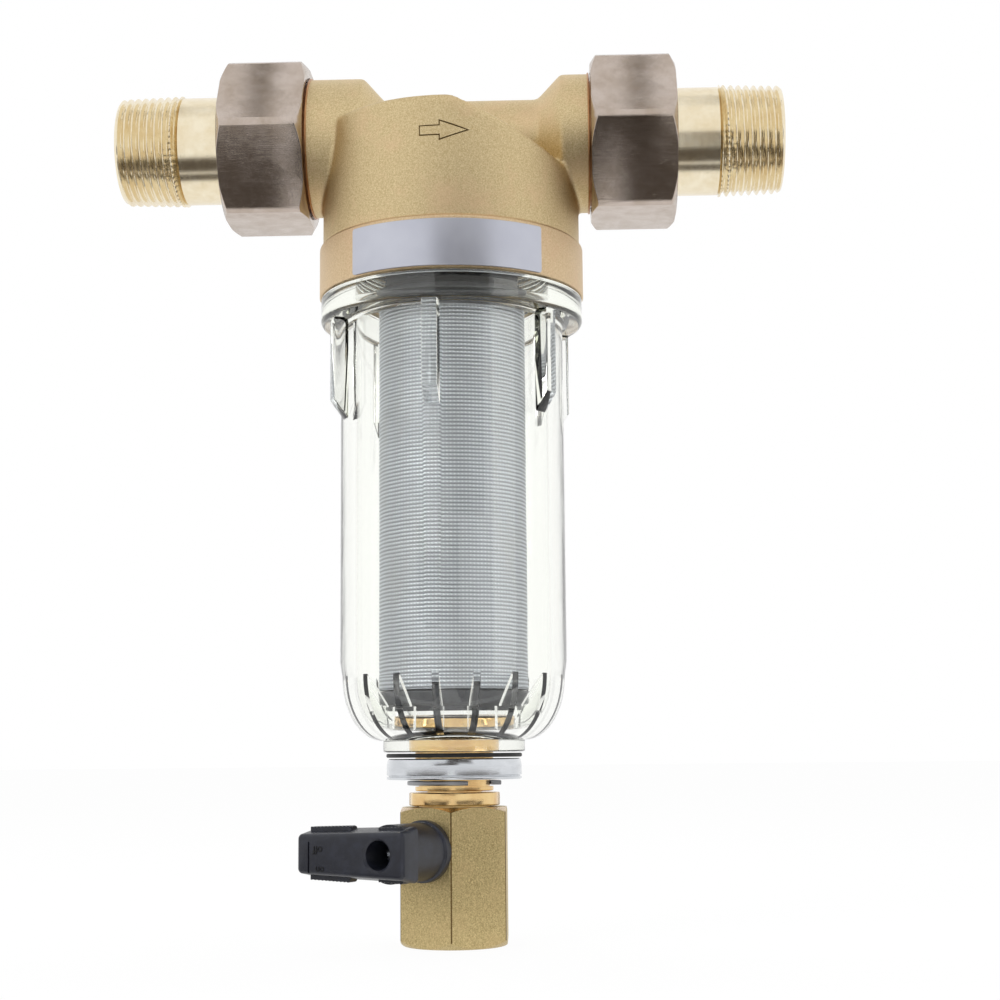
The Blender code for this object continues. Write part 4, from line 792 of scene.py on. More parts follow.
def dress(piece):
    """Give a finished piece its finish and body from the table, and hide the CAD node that it
    replaces.
    """
    finish, body, slot, node = PIECES[piece.name]
    piece.data.materials.clear()
    piece.data.materials.append(FINISHES[finish])
    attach(piece, body)
    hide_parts(node)
    return piece


# Head


def head_casting():
    """Cast head: cup, cross pipe, shoulders and necks, blended as one casting, then bored."""
    cup = [(0, HEAD_BOTTOM_Z + 0.8), (HEAD_R, HEAD_BOTTOM_Z + 0.8), (HEAD_R, HEAD_TOP_Z, 1.2),
           (0, HEAD_TOP_Z)]
    casting = turned("head_casting", soften(cup))
    fall = 2 * HEAD_R
    wedge = [(SLOPE_START_X, HEAD_TOP_Z), (SLOPE_START_X + fall, HEAD_TOP_Z - SLOPE * fall),
             (SLOPE_START_X + fall, fall), (SLOPE_START_X, fall)]
    cut(casting, prism("slope", wedge, -fall, fall, UPRIGHT))
    end = NECK_END + 2.0
    left = [(0, -end), (NECK_R, -end), (NECK_R, LEFT_SHOULDER[0], 1.0),
            (CROSS_PIPE_R, LEFT_SHOULDER[1], 1.0)]
    right = [(CROSS_PIPE_R, RIGHT_SHOULDER[0], 1.0), (NECK_R, RIGHT_SHOULDER[1], 1.0),
             (NECK_R, end), (0, end)]
    join(casting, turned("pipe", soften(left + right), PIPE_RIGHT))
    blend = casting.modifiers.new("blend", "REMESH")
    blend.mode = "VOXEL"
    blend.voxel_size = CASTING_VOXEL * MM
    calm = casting.modifiers.new("calm", "SMOOTH")
    calm.factor = 0.5
    calm.iterations = CASTING_SMOOTHING
    bake(casting)
    for matrix in (PIPE_LEFT, PIPE_RIGHT):
        cut(casting, turned("neck_end", rod(NECK_R + 4, NECK_END - 0.1, NECK_END + 5), matrix))
    below = HEAD_BOTTOM_Z - 1
    chamber = [(BOSS_R, below), (SOCKET_R + 0.05, below), (SOCKET_R + 0.05, SOCKET_TOP_Z),
               (CHAMBER_R, SOCKET_TOP_Z), (CHAMBER_R, CHAMBER_SHOULDER_Z, 1.5),
               (BOSS_R, CHAMBER_ROOF_Z, 1.5)]
    cut(casting, turned("chamber", soften(chamber)))
    cut(casting, turned("boss_end", rod(BOSS_R + 0.5, below, BOSS_END_Z)))
    cut(casting, turned("centre_bore", rod(BOSS_BORE_R, below, WAY_TOP_Z)))
    cut(casting, turned("inlet_way", rod(PASSAGE_R, -SPIGOT_FACE - 1, -BOSS_R), PIPE_RIGHT))
    cut(casting, turned("outlet_way", rod(PASSAGE_R, 0, SPIGOT_FACE + 1), PIPE_RIGHT))
    drop = rod(DROP_R, CHAMBER_SHOULDER_Z + 0.5, WAY_TOP_Z)
    cut(casting, turned("drop", drop, Matrix.Translation((DROP_X, 0, 0))))
    groove = wrapped_arrow("arrow_groove", ARROW_GROOVE, HEAD_R - ARROW_GROOVE_DEPTH, HEAD_R + 1)
    cut(casting, groove)
    return dress(casting)


def head_band():
    """Machined band round the bowl's thread, with the thread inside it."""
    inner = run(SOCKET_R, HEAD_BOTTOM_Z + 1.5, SOCKET_R, BAND_TOP_Z - 0.5,
                PARALLEL_PITCH / THREAD_STEPS)
    top = BAND_TOP_Z + 1.4
    outline = [(BAND_R, HEAD_BOTTOM_Z, 0.4), (BAND_R, BAND_TOP_Z, 0.7), (HEAD_R - 1, top),
               (SOCKET_R, top), *reversed(inner), (SOCKET_R + 0.8, HEAD_BOTTOM_Z)]
    thread = thread_on(SOCKET_R, 0.7, PARALLEL_PITCH, (HEAD_BOTTOM_Z + 1.5, HEAD_BOTTOM_Z + 3),
                       (HEAD_BOTTOM_Z + 8.6, HEAD_BOTTOM_Z + 9.6))
    return dress(turned("head_band", soften(outline), shape=thread))


def head_spigot(name, matrix):
    """Threaded spigot and the thin ring beside the union nut."""
    start = NECK_END - NECK_RING_W
    side = run(SPIGOT_R, NECK_END + 0.8, SPIGOT_R, SPIGOT_FACE - 0.6, PARALLEL_PITCH / THREAD_STEPS)
    outline = [(PASSAGE_R, start), (NECK_RING_R, start, 0.3), (NECK_RING_R, NECK_END, 0.2),
               (SPIGOT_R - 1.0, NECK_END), (SPIGOT_R - 1.0, NECK_END + 0.7), *side,
               (SPIGOT_R - 0.6, SPIGOT_FACE), (PASSAGE_R, SPIGOT_FACE, 0.4)]
    thread = thread_on(SPIGOT_R, -1.1, PARALLEL_PITCH, (NECK_END + 0.5, NECK_END + 2))
    return dress(turned(name, soften(outline), matrix, shape=thread))


def wrapped_arrow(name, grow, inner_r, outer_r):
    """Arrow that shows the flow, wrapped round the head's front."""
    x, z = ARROW_NECK
    tail_half = ARROW_TAIL_HALF + grow
    head_half = ARROW_HEAD_HALF + 1.6 * grow
    back = x - ARROW_TAIL - grow
    neck = x - grow
    outline = [(back, z + tail_half), (neck, z + tail_half), (neck, z + head_half),
               (x + ARROW_TIP + 3 * grow, z), (neck, z - head_half), (neck, z - tail_half),
               (back, z - tail_half)]
    arrow = prism(name, outline, inner_r, outer_r, UPRIGHT)
    for vertex in arrow.data.vertices:
        spot = vertex.co / MM
        turn = spot.x / HEAD_R
        reach = -spot.y
        vertex.co = Vector((reach * sin(turn), -reach * cos(turn), spot.z)) * MM
    return shade(arrow)


def flow_arrow():
    """Low cast arrow inside its groove, and a dark strip laid in the groove as painted shade."""
    arrow = wrapped_arrow("flow_arrow", 0.0, HEAD_R - 1, HEAD_R + ARROW_RISE)
    dress(arrow)
    # painted shade: a dark strip in the groove round the arrow, seen as its outline
    groove_shade = wrapped_arrow("arrow_outline", ARROW_GROOVE, HEAD_R - 1, HEAD_R - ARROW_SHADE_INSET)
    return dress(groove_shade)


def rating_label():
    """Foil label on the band, with rounded corners and nothing printed on it."""
    inner = LABEL_R - LABEL_T
    corner_arc = degrees(LABEL_CORNER / LABEL_R)

    def section(share):
        """Foil's section at a share of its arc, shorter inside a rounded corner."""
        edge = min(share, 1 - share) * LABEL_ARC
        inside = max(0.0, 1 - edge / corner_arc)
        drop = LABEL_CORNER * (1 - sqrt(1 - inside * inside)) if inside < 1 else LABEL_CORNER
        low, high = LABEL_LOW.z + drop, LABEL_HIGH.z - drop
        return [(inner, low), (LABEL_R - LABEL_EDGE, low), (LABEL_R, low + LABEL_EDGE),
                (LABEL_R, high - LABEL_EDGE), (LABEL_R - LABEL_EDGE, high), (inner, high)]

    start = -90 + LABEL_TURN - LABEL_ARC / 2
    return dress(arc_strip("rating_label_foil", section, start, LABEL_ARC, LABEL_STEPS))


# Unions


def nipple(side, matrix):
    """Tailpiece with a tapered pipe thread whose first turn is notched to hold its packing."""
    end_r = TAIL_THREAD_R - TAIL_TAPER * (TAIL_END - TAIL_THREAD_START)
    thread = run(TAIL_THREAD_R, TAIL_THREAD_START, end_r, TAIL_END - 0.6,
                 TAPER_PITCH / THREAD_STEPS)
    flange_end = TAIL_START + TAIL_FLANGE_W
    outline = [(TAIL_BORE_R, TAIL_START, 0.4), (TAIL_FLANGE_R, TAIL_START, 0.3),
               (TAIL_FLANGE_R, flange_end, 0.3), (TAIL_R, flange_end, 0.4),
               (TAIL_R, TAIL_THREAD_START - 0.5), (TAIL_R - 0.5, TAIL_THREAD_START - 0.2),
               *thread, (end_r - 0.6, TAIL_END - 0.1), (TAIL_BORE_R + 0.4, TAIL_END),
               (TAIL_BORE_R, TAIL_END - 0.4)]

    def shape(angle, radius, height):
        """Radius with the thread and its notches in it."""
        if radius < end_r - 0.3 or height < TAIL_THREAD_START:
            return radius
        turns = (height - TAIL_THREAD_START) / TAPER_PITCH - angle / (2 * pi)
        worn = fade(height, TAIL_THREAD_START, TAIL_THREAD_START + 0.5)
        worn *= 1 - 0.5 * fade(height, TAIL_END - 1.6, TAIL_END - 0.4)
        reach = radius - TAPER_DEPTH * worn * (1 - crest(turns))
        notched = 1 - fade(height, TAIL_THREAD_START + 2.2, TAIL_THREAD_START + 2.8)
        notch = max(0.0, cos(NOTCH_COUNT * angle)) ** 2
        return reach - 0.3 * notched * notch * crest(turns)

    return dress(turned(side + "_nipple_brass", soften(outline), matrix, 6 * NOTCH_COUNT, shape))


def union_nut(side, matrix):
    """Hexagon nut with chamfered ends, a threaded bore and a lip over the tail's flange."""
    nut = prism(side + "_nut_brass", hexagon(NUT_FLATS, NUT_CORNER_FLAT), NUT_START, NUT_END,
                matrix @ CORNER_FRONT)
    face_r = NUT_FLATS / 2 + 0.3
    corner_r = NUT_CORNER_R + 0.6
    drop = (corner_r - face_r) * 0.62
    round_off = [(0, NUT_START), (face_r, NUT_START), (corner_r, NUT_START + drop),
                 (corner_r, NUT_END - drop), (face_r, NUT_END), (0, NUT_END)]
    combine(nut, turned("round_off", round_off, matrix), "INTERSECT")
    bore = [(0, NUT_START - 1), (NUT_MOUTH_R, NUT_START - 1), (NUT_THREAD_R, NUT_START + 0.8),
            (NUT_THREAD_R, NUT_LIP_START), (NUT_LIP_R, NUT_LIP_START), (NUT_LIP_R, NUT_END + 1),
            (0, NUT_END + 1)]
    cut(nut, turned("bore", bore, matrix))
    ease(nut, 0.22)
    return dress(nut)


# Bowl


def dome_outside(angle):
    """Point on the outside of the bowl's rounded bottom."""
    depth = DOME_TOP_Z - BOWL_FOOT_Z - 2.6
    return (BOWL_FOOT_R + (DOME_R - BOWL_FOOT_R) * cos(angle), DOME_TOP_Z - depth * sin(angle))


def dome_inside(angle):
    """Point on the inside of the bowl's rounded bottom."""
    floor_r = 15.2
    return (floor_r + (BOWL_BORE_R - floor_r) * cos(angle), DOME_TOP_Z - 12.0 * sin(angle))


def radial_plates(name, count, outline, width, easing):
    """Plates of a (radius, height) outline set evenly round the bowl, as one tool."""
    plates = []
    for k in range(count):
        turn = Matrix.Rotation(2 * pi * k / count, 4, "Z")
        plate = prism(name, outline, -width / 2, width / 2, turn @ UPRIGHT)
        plates.append(ease(plate, easing) if easing else plate)
    first = plates[0]
    made = bmesh.new()
    for plate in plates:
        made.from_mesh(plate.data)
    made.to_mesh(first.data)
    made.free()
    for plate in plates[1:]:
        bpy.data.objects.remove(plate)
    return first


def flange_side():
    """Shallow rings round the upper part of the bowl's flange."""
    ring_height = 0.9
    ring_depth = 0.12
    points = []
    for k in range(4):
        top = FLANGE_TOP_Z - 0.5 - ring_height * k
        points += [(FLANGE_R, top), (FLANGE_R - ring_depth, top - ring_height / 2)]
    return [*points, (FLANGE_R, FLANGE_TOP_Z - 0.5 - ring_height * 4)]


def clear_bowl():
    """Clear bowl: threaded neck, flange, six lugs, rounded bottom and inner ribs."""
    groove_r = NECK_THREAD_R - 2.5
    neck = run(NECK_THREAD_R, FLANGE_TOP_Z + 0.1, NECK_THREAD_R, BOWL_HIGH.z - 6.1,
               PARALLEL_PITCH / THREAD_STEPS)
    outside = [(NECK_THREAD_R, BOWL_HIGH.z, 0.5), (NECK_THREAD_R, NECK_GROOVE_HIGH_Z),
               (groove_r, NECK_GROOVE_HIGH_Z), (groove_r, NECK_GROOVE_LOW_Z),
               (NECK_THREAD_R, NECK_GROOVE_LOW_Z), *reversed(neck), (NECK_THREAD_R, FLANGE_TOP_Z),
               (FLANGE_R, FLANGE_TOP_Z, 0.4), *flange_side(), (FLANGE_R, FLANGE_BOTTOM_Z, 1.4),
               (BOWL_R, FLANGE_BOTTOM_Z, 1.2), (BOWL_R, DOME_TOP_Z + 3.5)]
    outside += [dome_outside(pi / 2 * i / DOME_STEPS) for i in range(DOME_STEPS)]
    outside += [(BOWL_FOOT_R, BOWL_FOOT_Z + 2.6), (BOWL_FOOT_R, BOWL_FOOT_Z, 0.4)]
    inside = [(BOWL_HOLE_R, BOWL_FOOT_Z), (BOWL_HOLE_R, BOWL_FLOOR_Z)]
    inside += [dome_inside(pi / 2 * i / DOME_STEPS) for i in range(DOME_STEPS, 0, -1)]
    inside += [(BOWL_BORE_R, DOME_TOP_Z), (BOWL_BORE_R, BOWL_HIGH.z, 0.8)]
    thread = thread_on(NECK_THREAD_R, -0.9, PARALLEL_PITCH, (FLANGE_TOP_Z, FLANGE_TOP_Z + 2),
                       (BOWL_HIGH.z - 7.0, BOWL_HIGH.z - 6.1))
    bowl = turned("clear_bowl", soften(outside + inside), sides=CLEAR_SIDES, shape=thread)
    root = BOWL_R - 1.6
    lug = [(root, FLANGE_BOTTOM_Z + 0.5), (LUG_R, FLANGE_BOTTOM_Z + 0.5), (LUG_R, LUG_END_Z),
           (BOWL_R, LUG_FOOT_Z), (root, LUG_FOOT_Z)]
    join(bowl, radial_plates("lugs", LUG_COUNT, lug, LUG_WIDTH, 0.35))
    ledge_z = CAP_LOW.z + 1.0
    rib = [(RIB_INNER_R, BOWL_FLOOR_Z - 1.2), (RIB_INNER_R, ledge_z), (RIB_LEDGE_R, ledge_z),
           (RIB_LEDGE_R, ledge_z + 0.3), (BOWL_BORE_R, DOME_TOP_Z + 0.5),
           (BOWL_BORE_R + 1.8, DOME_TOP_Z + 0.5)]
    for i in range(6):
        angle = pi / 2 * i / 6
        pair = zip(dome_outside(angle), dome_inside(angle))
        rib.append(tuple((outer + inner) / 2 for outer, inner in pair))
    join(bowl, radial_plates("ribs", RIB_COUNT, rib, RIB_WIDTH, 0.0))
    bowl.data.transform(BOWL_MATRIX)
    return dress(bowl)


def bowl_seal():
    """Seal ring in the groove of the bowl's neck."""
    low, high = span("bowl_oring")
    section = (high.z - low.z) / 2
    centre_r = high.x - section
    centre_z = (high.z + low.z) / 2
    steps = 20
    outline = [(centre_r + section * cos(2 * pi * i / steps),
                centre_z + section * sin(2 * pi * i / steps)) for i in range(steps)]
    return dress(turned("bowl_seal_ring", outline))


# Insert


def screen():
    """Wire sleeve with its level rings."""
    steps = 8
    outer = run(MESH_R, MESH_LOW.z + 0.3, MESH_R, MESH_HIGH.z - 0.3, MESH_RING_PITCH / steps)
    outline = [(MESH_R - 0.4, MESH_LOW.z), (MESH_R - 0.05, MESH_LOW.z), *outer,
               (MESH_R - 0.05, MESH_HIGH.z), (MESH_R - 0.4, MESH_HIGH.z)]

    def rings(angle, radius, height):
        """Radius with the woven rings' waves in it."""
        if radius < MESH_R - 0.01:
            return radius
        wave = 0.5 - 0.5 * cos(2 * pi * height / MESH_RING_PITCH)
        return radius - MESH_RING_DEPTH * wave

    return dress(turned("wire_sleeve", outline, shape=rings))


def end_cap():
    """Cap under the wire sleeve."""
    rim_z = CAP_LOW.z + 1.3
    top_z = rim_z + 3.1
    outline = [(0, CAP_LOW.z), (CAP_R - 1.5, CAP_LOW.z, 0.4), (CAP_R - 1.5, rim_z),
               (CAP_R, rim_z, 0.5), (CAP_R, top_z, 0.4), (PLUG_R, top_z),
               (PLUG_R, CAP_HIGH.z, 0.3), (PLUG_BORE_R, CAP_HIGH.z, 0.3), (PLUG_BORE_R, top_z),
               (0, top_z)]
    return dress(turned("end_cap_plastic", soften(outline)))


def collar():
    """Collar that hangs the insert on the head's centre boss."""
    foot = MESH_HIGH.z + 0.3
    bore_r = BOSS_R + 0.3
    stop_z = BOSS_END_Z - 0.3
    groove_r = bore_r + SEAL_GROOVE_DEPTH
    plug_end = foot - 3.5
    outline = [(bore_r, COLLAR_HIGH.z, 0.3), (COLLAR_NECK_R, COLLAR_HIGH.z, 0.4),
               (COLLAR_NECK_R, foot + 3.4, 0.5), (CAP_R, foot + 1.8, 0.4), (CAP_R, foot, 0.3),
               (PLUG_R, foot), (PLUG_R, plug_end, 0.3), (PLUG_BORE_R, plug_end, 0.3),
               (PLUG_BORE_R, stop_z - 2.0), (BOSS_BORE_R, stop_z - 1.0), (BOSS_BORE_R, stop_z),
               (bore_r, stop_z), (bore_r, SEAL_GROOVE_LOW), (groove_r, SEAL_GROOVE_LOW),
               (groove_r, SEAL_GROOVE_HIGH), (bore_r, SEAL_GROOVE_HIGH)]
    return dress(turned("insert_collar_plastic", soften(outline)))


# Drain


def drain_bush():
    """Bush through the bowl's floor, seen through the plastic."""
    flange_low = BUSH_HIGH.z - BUSH_FLANGE_T
    groove_high = SPLIT_HIGH.z + RUNNING_GAP
    groove_low = SPLIT_LOW.z - RUNNING_GAP
    outline = [(BUSH_BORE_R, BUSH_HIGH.z, 0.8), (BUSH_FLANGE_R, BUSH_HIGH.z, 0.5),
               (BUSH_FLANGE_R, flange_low, 0.3), (BUSH_NECK_R, flange_low),
               (BUSH_NECK_R, BOWL_FOOT_Z, 0.3), (BUSH_LOWER_R, BOWL_FOOT_Z),
               (BUSH_LOWER_R, groove_high), (BUSH_GROOVE_R, groove_high),
               (BUSH_GROOVE_R, groove_low), (BUSH_LOWER_R, groove_low),
               (BUSH_LOWER_R, BUSH_LOW.z, 0.3), (BUSH_SOCKET_R, BUSH_LOW.z),
               (BUSH_SOCKET_R, BUSH_SOCKET_Z), (BUSH_BORE_R, BUSH_SOCKET_Z)]
    return dress(turned("drain_bush_brass", soften(outline)))


def washer():
    """Rubber washer squeezed between the bowl's foot and the steel ring."""
    outline = [(RING_BORE_R, WASHER_LOW.z), (WASHER_R, WASHER_LOW.z, 0.35),
               (WASHER_R, WASHER_HIGH.z, 0.35), (RING_BORE_R, WASHER_HIGH.z)]
    return dress(turned("washer_rubber", soften(outline)))


def steel_ring():
    """Bright ring with a groove above its lower lip."""
    lip = RING_LOW.z + 1.0
    outline = [(RING_BORE_R, RING_HIGH.z), (RING_R - 0.3, RING_HIGH.z, 0.4),
               (RING_R, (RING_HIGH.z + lip) / 2 + 0.4, 3.0), (RING_R, lip, 0.15),
               (RING_R - 0.5, lip - 0.1), (RING_R - 0.5, lip - 0.25), (RING_R, lip - 0.35, 0.1),
               (RING_R, RING_LOW.z, 0.45), (RING_BORE_R, RING_LOW.z)]
    return dress(turned("bright_ring", soften(outline)))


def split_ring():
    """Retaining ring, open to the right of the front."""
    outline = soften([(SPLIT_BORE_R, SPLIT_LOW.z, 0.15), (SPLIT_R, SPLIT_LOW.z, 0.25),
                      (SPLIT_R, SPLIT_HIGH.z, 0.25), (SPLIT_BORE_R, SPLIT_HIGH.z, 0.15)])
    start = -90 + SPLIT_TURN + SPLIT_OPENING / 2
    sweep = 360 - SPLIT_OPENING
    return dress(arc_strip("split_ring_steel", lambda share: outline, start, sweep, SPLIT_STEPS))


def end_collar():
    """Collar with small flats, screwed into the valve's top."""
    flats = [(COLLAR_R * cos(2 * pi * k / COLLAR_FLATS), COLLAR_R * sin(2 * pi * k / COLLAR_FLATS))
             for k in range(COLLAR_FLATS)]
    piece = prism("end_collar_brass", flats, VALVE_TOP_Z + RUNNING_GAP, BUSH_LOW.z - RUNNING_GAP)
    ease(piece, 0.3, 3)
    shoulder_z = VALVE_TOP_Z + 0.5
    core = [(VALVE_WAY_R, END_LOW.z), (END_SCREW_R, END_LOW.z, 0.3), (END_SCREW_R, shoulder_z),
            (END_PLUG_R, shoulder_z), (END_PLUG_R, END_HIGH.z, 0.3),
            (VALVE_WAY_R, END_HIGH.z, 0.3)]
    cut(piece, turned("bore", rod(5.0, END_LOW.z - 1, END_HIGH.z + 1)))
    join(piece, turned("core", soften(core)))
    return dress(piece)


def valve_hexagon():
    """Hexagonal valve body with the drain socket, the stem's boss and narrow corner flats painted
    darker as shade.
    """
    body = prism("valve_hexagon", hexagon(VALVE_FLATS, VALVE_CORNER_FLAT), VALVE_BOTTOM_Z, VALVE_TOP_Z,
                 CORNER_FRONT)
    face_r = VALVE_FLATS / 2 + 0.1
    corner_r = VALVE_FLATS / 2 / cos(radians(30)) + 0.4
    drop = (corner_r - face_r) * 0.6
    round_off = [(0, VALVE_BOTTOM_Z), (face_r - 0.4, VALVE_BOTTOM_Z, 1.2),
                 (corner_r, VALVE_BOTTOM_Z + drop + 0.6, 2.5), (corner_r, VALVE_TOP_Z - drop),
                 (face_r, VALVE_TOP_Z), (0, VALVE_TOP_Z)]
    combine(body, turned("round_off", soften(round_off)), "INTERSECT")
    boss = [(0, VALVE_FLATS / 2 - 2), (STEM_BOSS_R, VALVE_FLATS / 2 - 2),
            (STEM_BOSS_R, STEM_BOSS_END, 0.4), (0, STEM_BOSS_END)]
    join(body, turned("boss", soften(boss), stem_matrix()))
    socket_top = VALVE_BOTTOM_Z + DRAIN_SOCKET_DEPTH
    side = run(DRAIN_SOCKET_R, VALVE_BOTTOM_Z + 1.0, DRAIN_SOCKET_R, socket_top, 0.16)
    way = [(0, VALVE_BOTTOM_Z - 1), (DRAIN_SOCKET_R + 2, VALVE_BOTTOM_Z - 1), *side,
           (VALVE_WAY_R, socket_top + 1.2), (VALVE_WAY_R, VALVE_SEAT_Z),
           (VALVE_CHAMBER_R, VALVE_SEAT_Z), (VALVE_CHAMBER_R, VALVE_CHAMBER_TOP_Z),
           (VALVE_MOUTH_R, VALVE_CHAMBER_TOP_Z), (VALVE_MOUTH_R, VALVE_TOP_Z + 1),
           (0, VALVE_TOP_Z + 1)]
    thread = thread_on(DRAIN_SOCKET_R, 0.7, DRAIN_PITCH, end=(socket_top - 2, socket_top - 0.6))
    cut(body, turned("way", way, shape=thread))
    stem = rod(STEM_WAY_R, 5.0, STEM_BOSS_END + 1)
    cut(body, turned("stem_way", stem, stem_matrix()))
    ease(body, 0.12)
    return dress_corners(dress(body))


def dress_corners(body):
    """Bright chamfer round the valve's top, and painted shade down its corners: darker faces along
    each corner draw the corner line.
    """
    body.data.materials.append(FINISHES["polished_brass"])
    body.data.materials.append(FINISHES["painted_shade_brass"])
    chamfer_z = (VALVE_TOP_Z - VALVE_CHAMFER) * MM
    shade_r = (VALVE_FLATS / 2 + 0.8) * MM
    for face in body.data.polygons:
        if 0.3 < face.normal.z < 0.95 and face.center.z > chamfer_z:
            face.material_index = 1
        turn = degrees(atan2(face.normal.y, face.normal.x)) - 90
        off_corner = abs((turn + 30) % 60 - 30)
        upright = abs(face.normal.z) < 0.2
        # painted shade: upright faces that look near a corner take the dark brass
        if off_corner < VALVE_SHADE_TURN and face.center.xy.length > shade_r and upright:
            face.material_index = 2
    return body


# Lever


def lever_section(height, grow, inset):
    """Rounded, tapered outline of the arm at one height."""
    steps = 8
    corners = [(LEVER_REACH, LEVER_TIP_HEIGHT, 1), (-LEVER_HEEL, LEVER_HEIGHT, 1),
               (-LEVER_HEEL, LEVER_HEIGHT, -1), (LEVER_REACH, LEVER_TIP_HEIGHT, -1)]
    points = []
    for k, (x, width, side) in enumerate(corners):
        outer = 1 if x > 0 else -1
        centre_x = x - outer * LEVER_ROUND
        centre_y = side * (width / 2 + grow - LEVER_ROUND)
        for i in range(steps + 1):
            angle = pi / 2 * (k + i / steps)
            reach = LEVER_ROUND - inset
            points.append((centre_x + reach * cos(angle), centre_y + reach * sin(angle), height))
    return points


def grip(side, start, length, count):
    """Low serrated pad on one edge of the arm."""
    edge = LEVER_TIP_HEIGHT / 2 + LEVER_FLARE
    base = edge - 1.6
    outline = [(start, side * base), (start, side * (edge + 0.5))]
    for k in range(count * 2):
        share = (k + 0.5) / (count * 2)
        rise = 0.54 + 0.36 * share - (0.18 if k % 2 else 0.0)
        outline.append((start - length * share, side * (edge + rise)))
    outline.append((start - length - 1.0, side * base))
    return prism("grip", outline, LEVER_BACK + 0.5, LEVER_BACK + 3.0, stem_matrix())


def lever():
    """Moulded lever: hub over the stem's boss, tapered arm, grips and a deep screw well."""
    matrix = stem_matrix()
    edge = 0.8
    sections = [lever_section(LEVER_BACK, LEVER_FLARE, 0.3),
                lever_section(LEVER_BACK + 0.3, LEVER_FLARE, 0.0),
                lever_section(LEVER_BACK + 3.0, LEVER_FLARE * 0.45, 0.0)]
    for i in range(6):
        angle = pi / 2 * i / 5
        sections.append(lever_section(LEVER_FRONT - edge * (1 - sin(angle)), 0.0,
                                      edge * (1 - cos(angle))))
    arm = loft("lever_plastic", sections, matrix)
    hub = [(0, HUB_START), (HUB_RIM_R, HUB_START, 0.2), (HUB_RIM_R, HUB_RIM_END, 0.4),
           (HUB_R, HUB_RIM_END + 0.4), (HUB_R, LEVER_BACK + 1), (0, LEVER_BACK + 1)]
    join(arm, turned("hub", soften(hub), matrix))
    for side in (-1, 1):
        for pad in GRIPS:
            join(arm, grip(side, *pad))
    cut(arm, turned("hollow", rod(STEM_BOSS_R + 0.3, 10, STEM_BOSS_END + 0.3), matrix))
    square = rectangle(-STEM_SQUARE / 2, STEM_SQUARE / 2, -STEM_SQUARE / 2, STEM_SQUARE / 2)
    cut(arm, prism("square", square, STEM_BOSS_END, STEM_SQUARE_END, matrix))
    hole_r = SCREW_R + 0.3
    well = [(0, 21), (hole_r, 21), (hole_r, WEB), (WELL_R, WEB), (WELL_R, LEVER_FRONT - 0.5),
            (WELL_R + 0.9, LEVER_FRONT + 0.4), (WELL_R + 0.9, LEVER_FRONT + 1),
            (0, LEVER_FRONT + 1)]
    cut(arm, turned("well", well, matrix))
    cut(arm, prism("groove", rectangle(*LEVER_LINE), LEVER_FRONT - 0.35, LEVER_FRONT + 1, matrix))
    return dress(arm)


def lever_word(word):
    """Raised switch word on the lever, read with the lever turned down."""
    name = "word_" + word
    along, across, size = WORD_PLACES[word]
    curve = bpy.data.curves.new(name, "FONT")
    curve.body = word
    curve.size = size * MM
    curve.extrude = 0.08 * MM
    curve.bevel_depth = 0.02 * MM
    curve.align_x = "CENTER"
    curve.align_y = "CENTER"
    text = place_object(name, curve)
    seen = text.evaluated_get(bpy.context.evaluated_depsgraph_get())
    mesh = bpy.data.meshes.new_from_object(seen)
    bpy.data.objects.remove(text)
    place = Matrix.Translation(Vector((along, across, LEVER_FRONT + 0.04)) * MM)
    stem = stem_matrix()
    stem.translation *= MM
    mesh.transform(stem @ place)
    return dress(place_object(name, mesh))


def switch_words():
    """The lever's two words."""
    for word in WORD_PLACES:
        lever_word(word)


def screw():
    """Screw with a domed head and a crossed recess, at the bottom of the well."""
    matrix = stem_matrix()
    under = WEB + RUNNING_GAP
    top = under + SCREW_HEAD_T
    outline = [(0, SCREW_START), (SCREW_R - 0.4, SCREW_START), (SCREW_R, SCREW_START + 0.6),
               (SCREW_R, under), (SCREW_HEAD_R, under, 0.1), (SCREW_HEAD_R, under + 0.9, 0.5),
               (1.4, top, 0.4), (0, top)]
    piece = turned("lever_screw", soften(outline), matrix, 72)
    for long_side, thin_side in (RECESS, reversed(RECESS)):
        blade = rectangle(-long_side, long_side, -thin_side, thin_side)
        cut(piece, prism("blade", blade, top - RECESS_DEPTH, top + 1, matrix))
    return dress(piece)


# Studio


def make_camera():
    """Camera fitted to the photograph."""
    pitch, yaw, roll = radians(CAMERA_PITCH), radians(CAMERA_YAW), radians(CAMERA_ROLL)
    ahead = Vector((sin(yaw) * cos(pitch), cos(yaw) * cos(pitch), sin(pitch)))
    level = Vector((cos(yaw), -sin(yaw), 0))
    upright = level.cross(ahead)
    right = level * cos(roll) + upright * sin(roll)
    up = upright * cos(roll) - level * sin(roll)
    data = bpy.data.cameras.new("camera")
    data.lens = CAMERA_LENS
    data.sensor_width = CAMERA_SENSOR
    data.sensor_fit = "HORIZONTAL"
    data.clip_start = 0.01
    camera = place_object("camera", data)
    turn = Matrix((right, up, -ahead)).transposed().to_4x4()
    camera.matrix_world = Matrix.Translation(Vector(CAMERA_PLACE) * MM) @ turn
    bpy.context.scene.camera = camera


def area_light(name, place, target, size, power):
    """Rectangular lamp that lights matt surfaces but doesn't show as a shine."""
    data = bpy.data.lights.new(name, "AREA")
    data.shape = "RECTANGLE"
    data.size, data.size_y = size
    data.energy = power
    light = place_object(name, data)
    light.visible_glossy = False
    direction = Vector(target) - Vector(place)
    light.matrix_world = (Matrix.Translation(place)
                          @ direction.to_track_quat("-Z", "Y").to_matrix().to_4x4())


def seen_directly(tree):
    """1 for camera, glossy and transmission rays, 0 for the rest."""
    path = tree.nodes.new("ShaderNodeLightPath")
    value = path.outputs["Is Camera Ray"]
    for name in ("Is Glossy Ray", "Is Transmission Ray"):
        larger = tree.nodes.new("ShaderNodeMath")
        larger.operation = "MAXIMUM"
        tree.links.new(value, larger.inputs[0])
        tree.links.new(path.outputs[name], larger.inputs[1])
        value = larger.outputs[0]
    return value


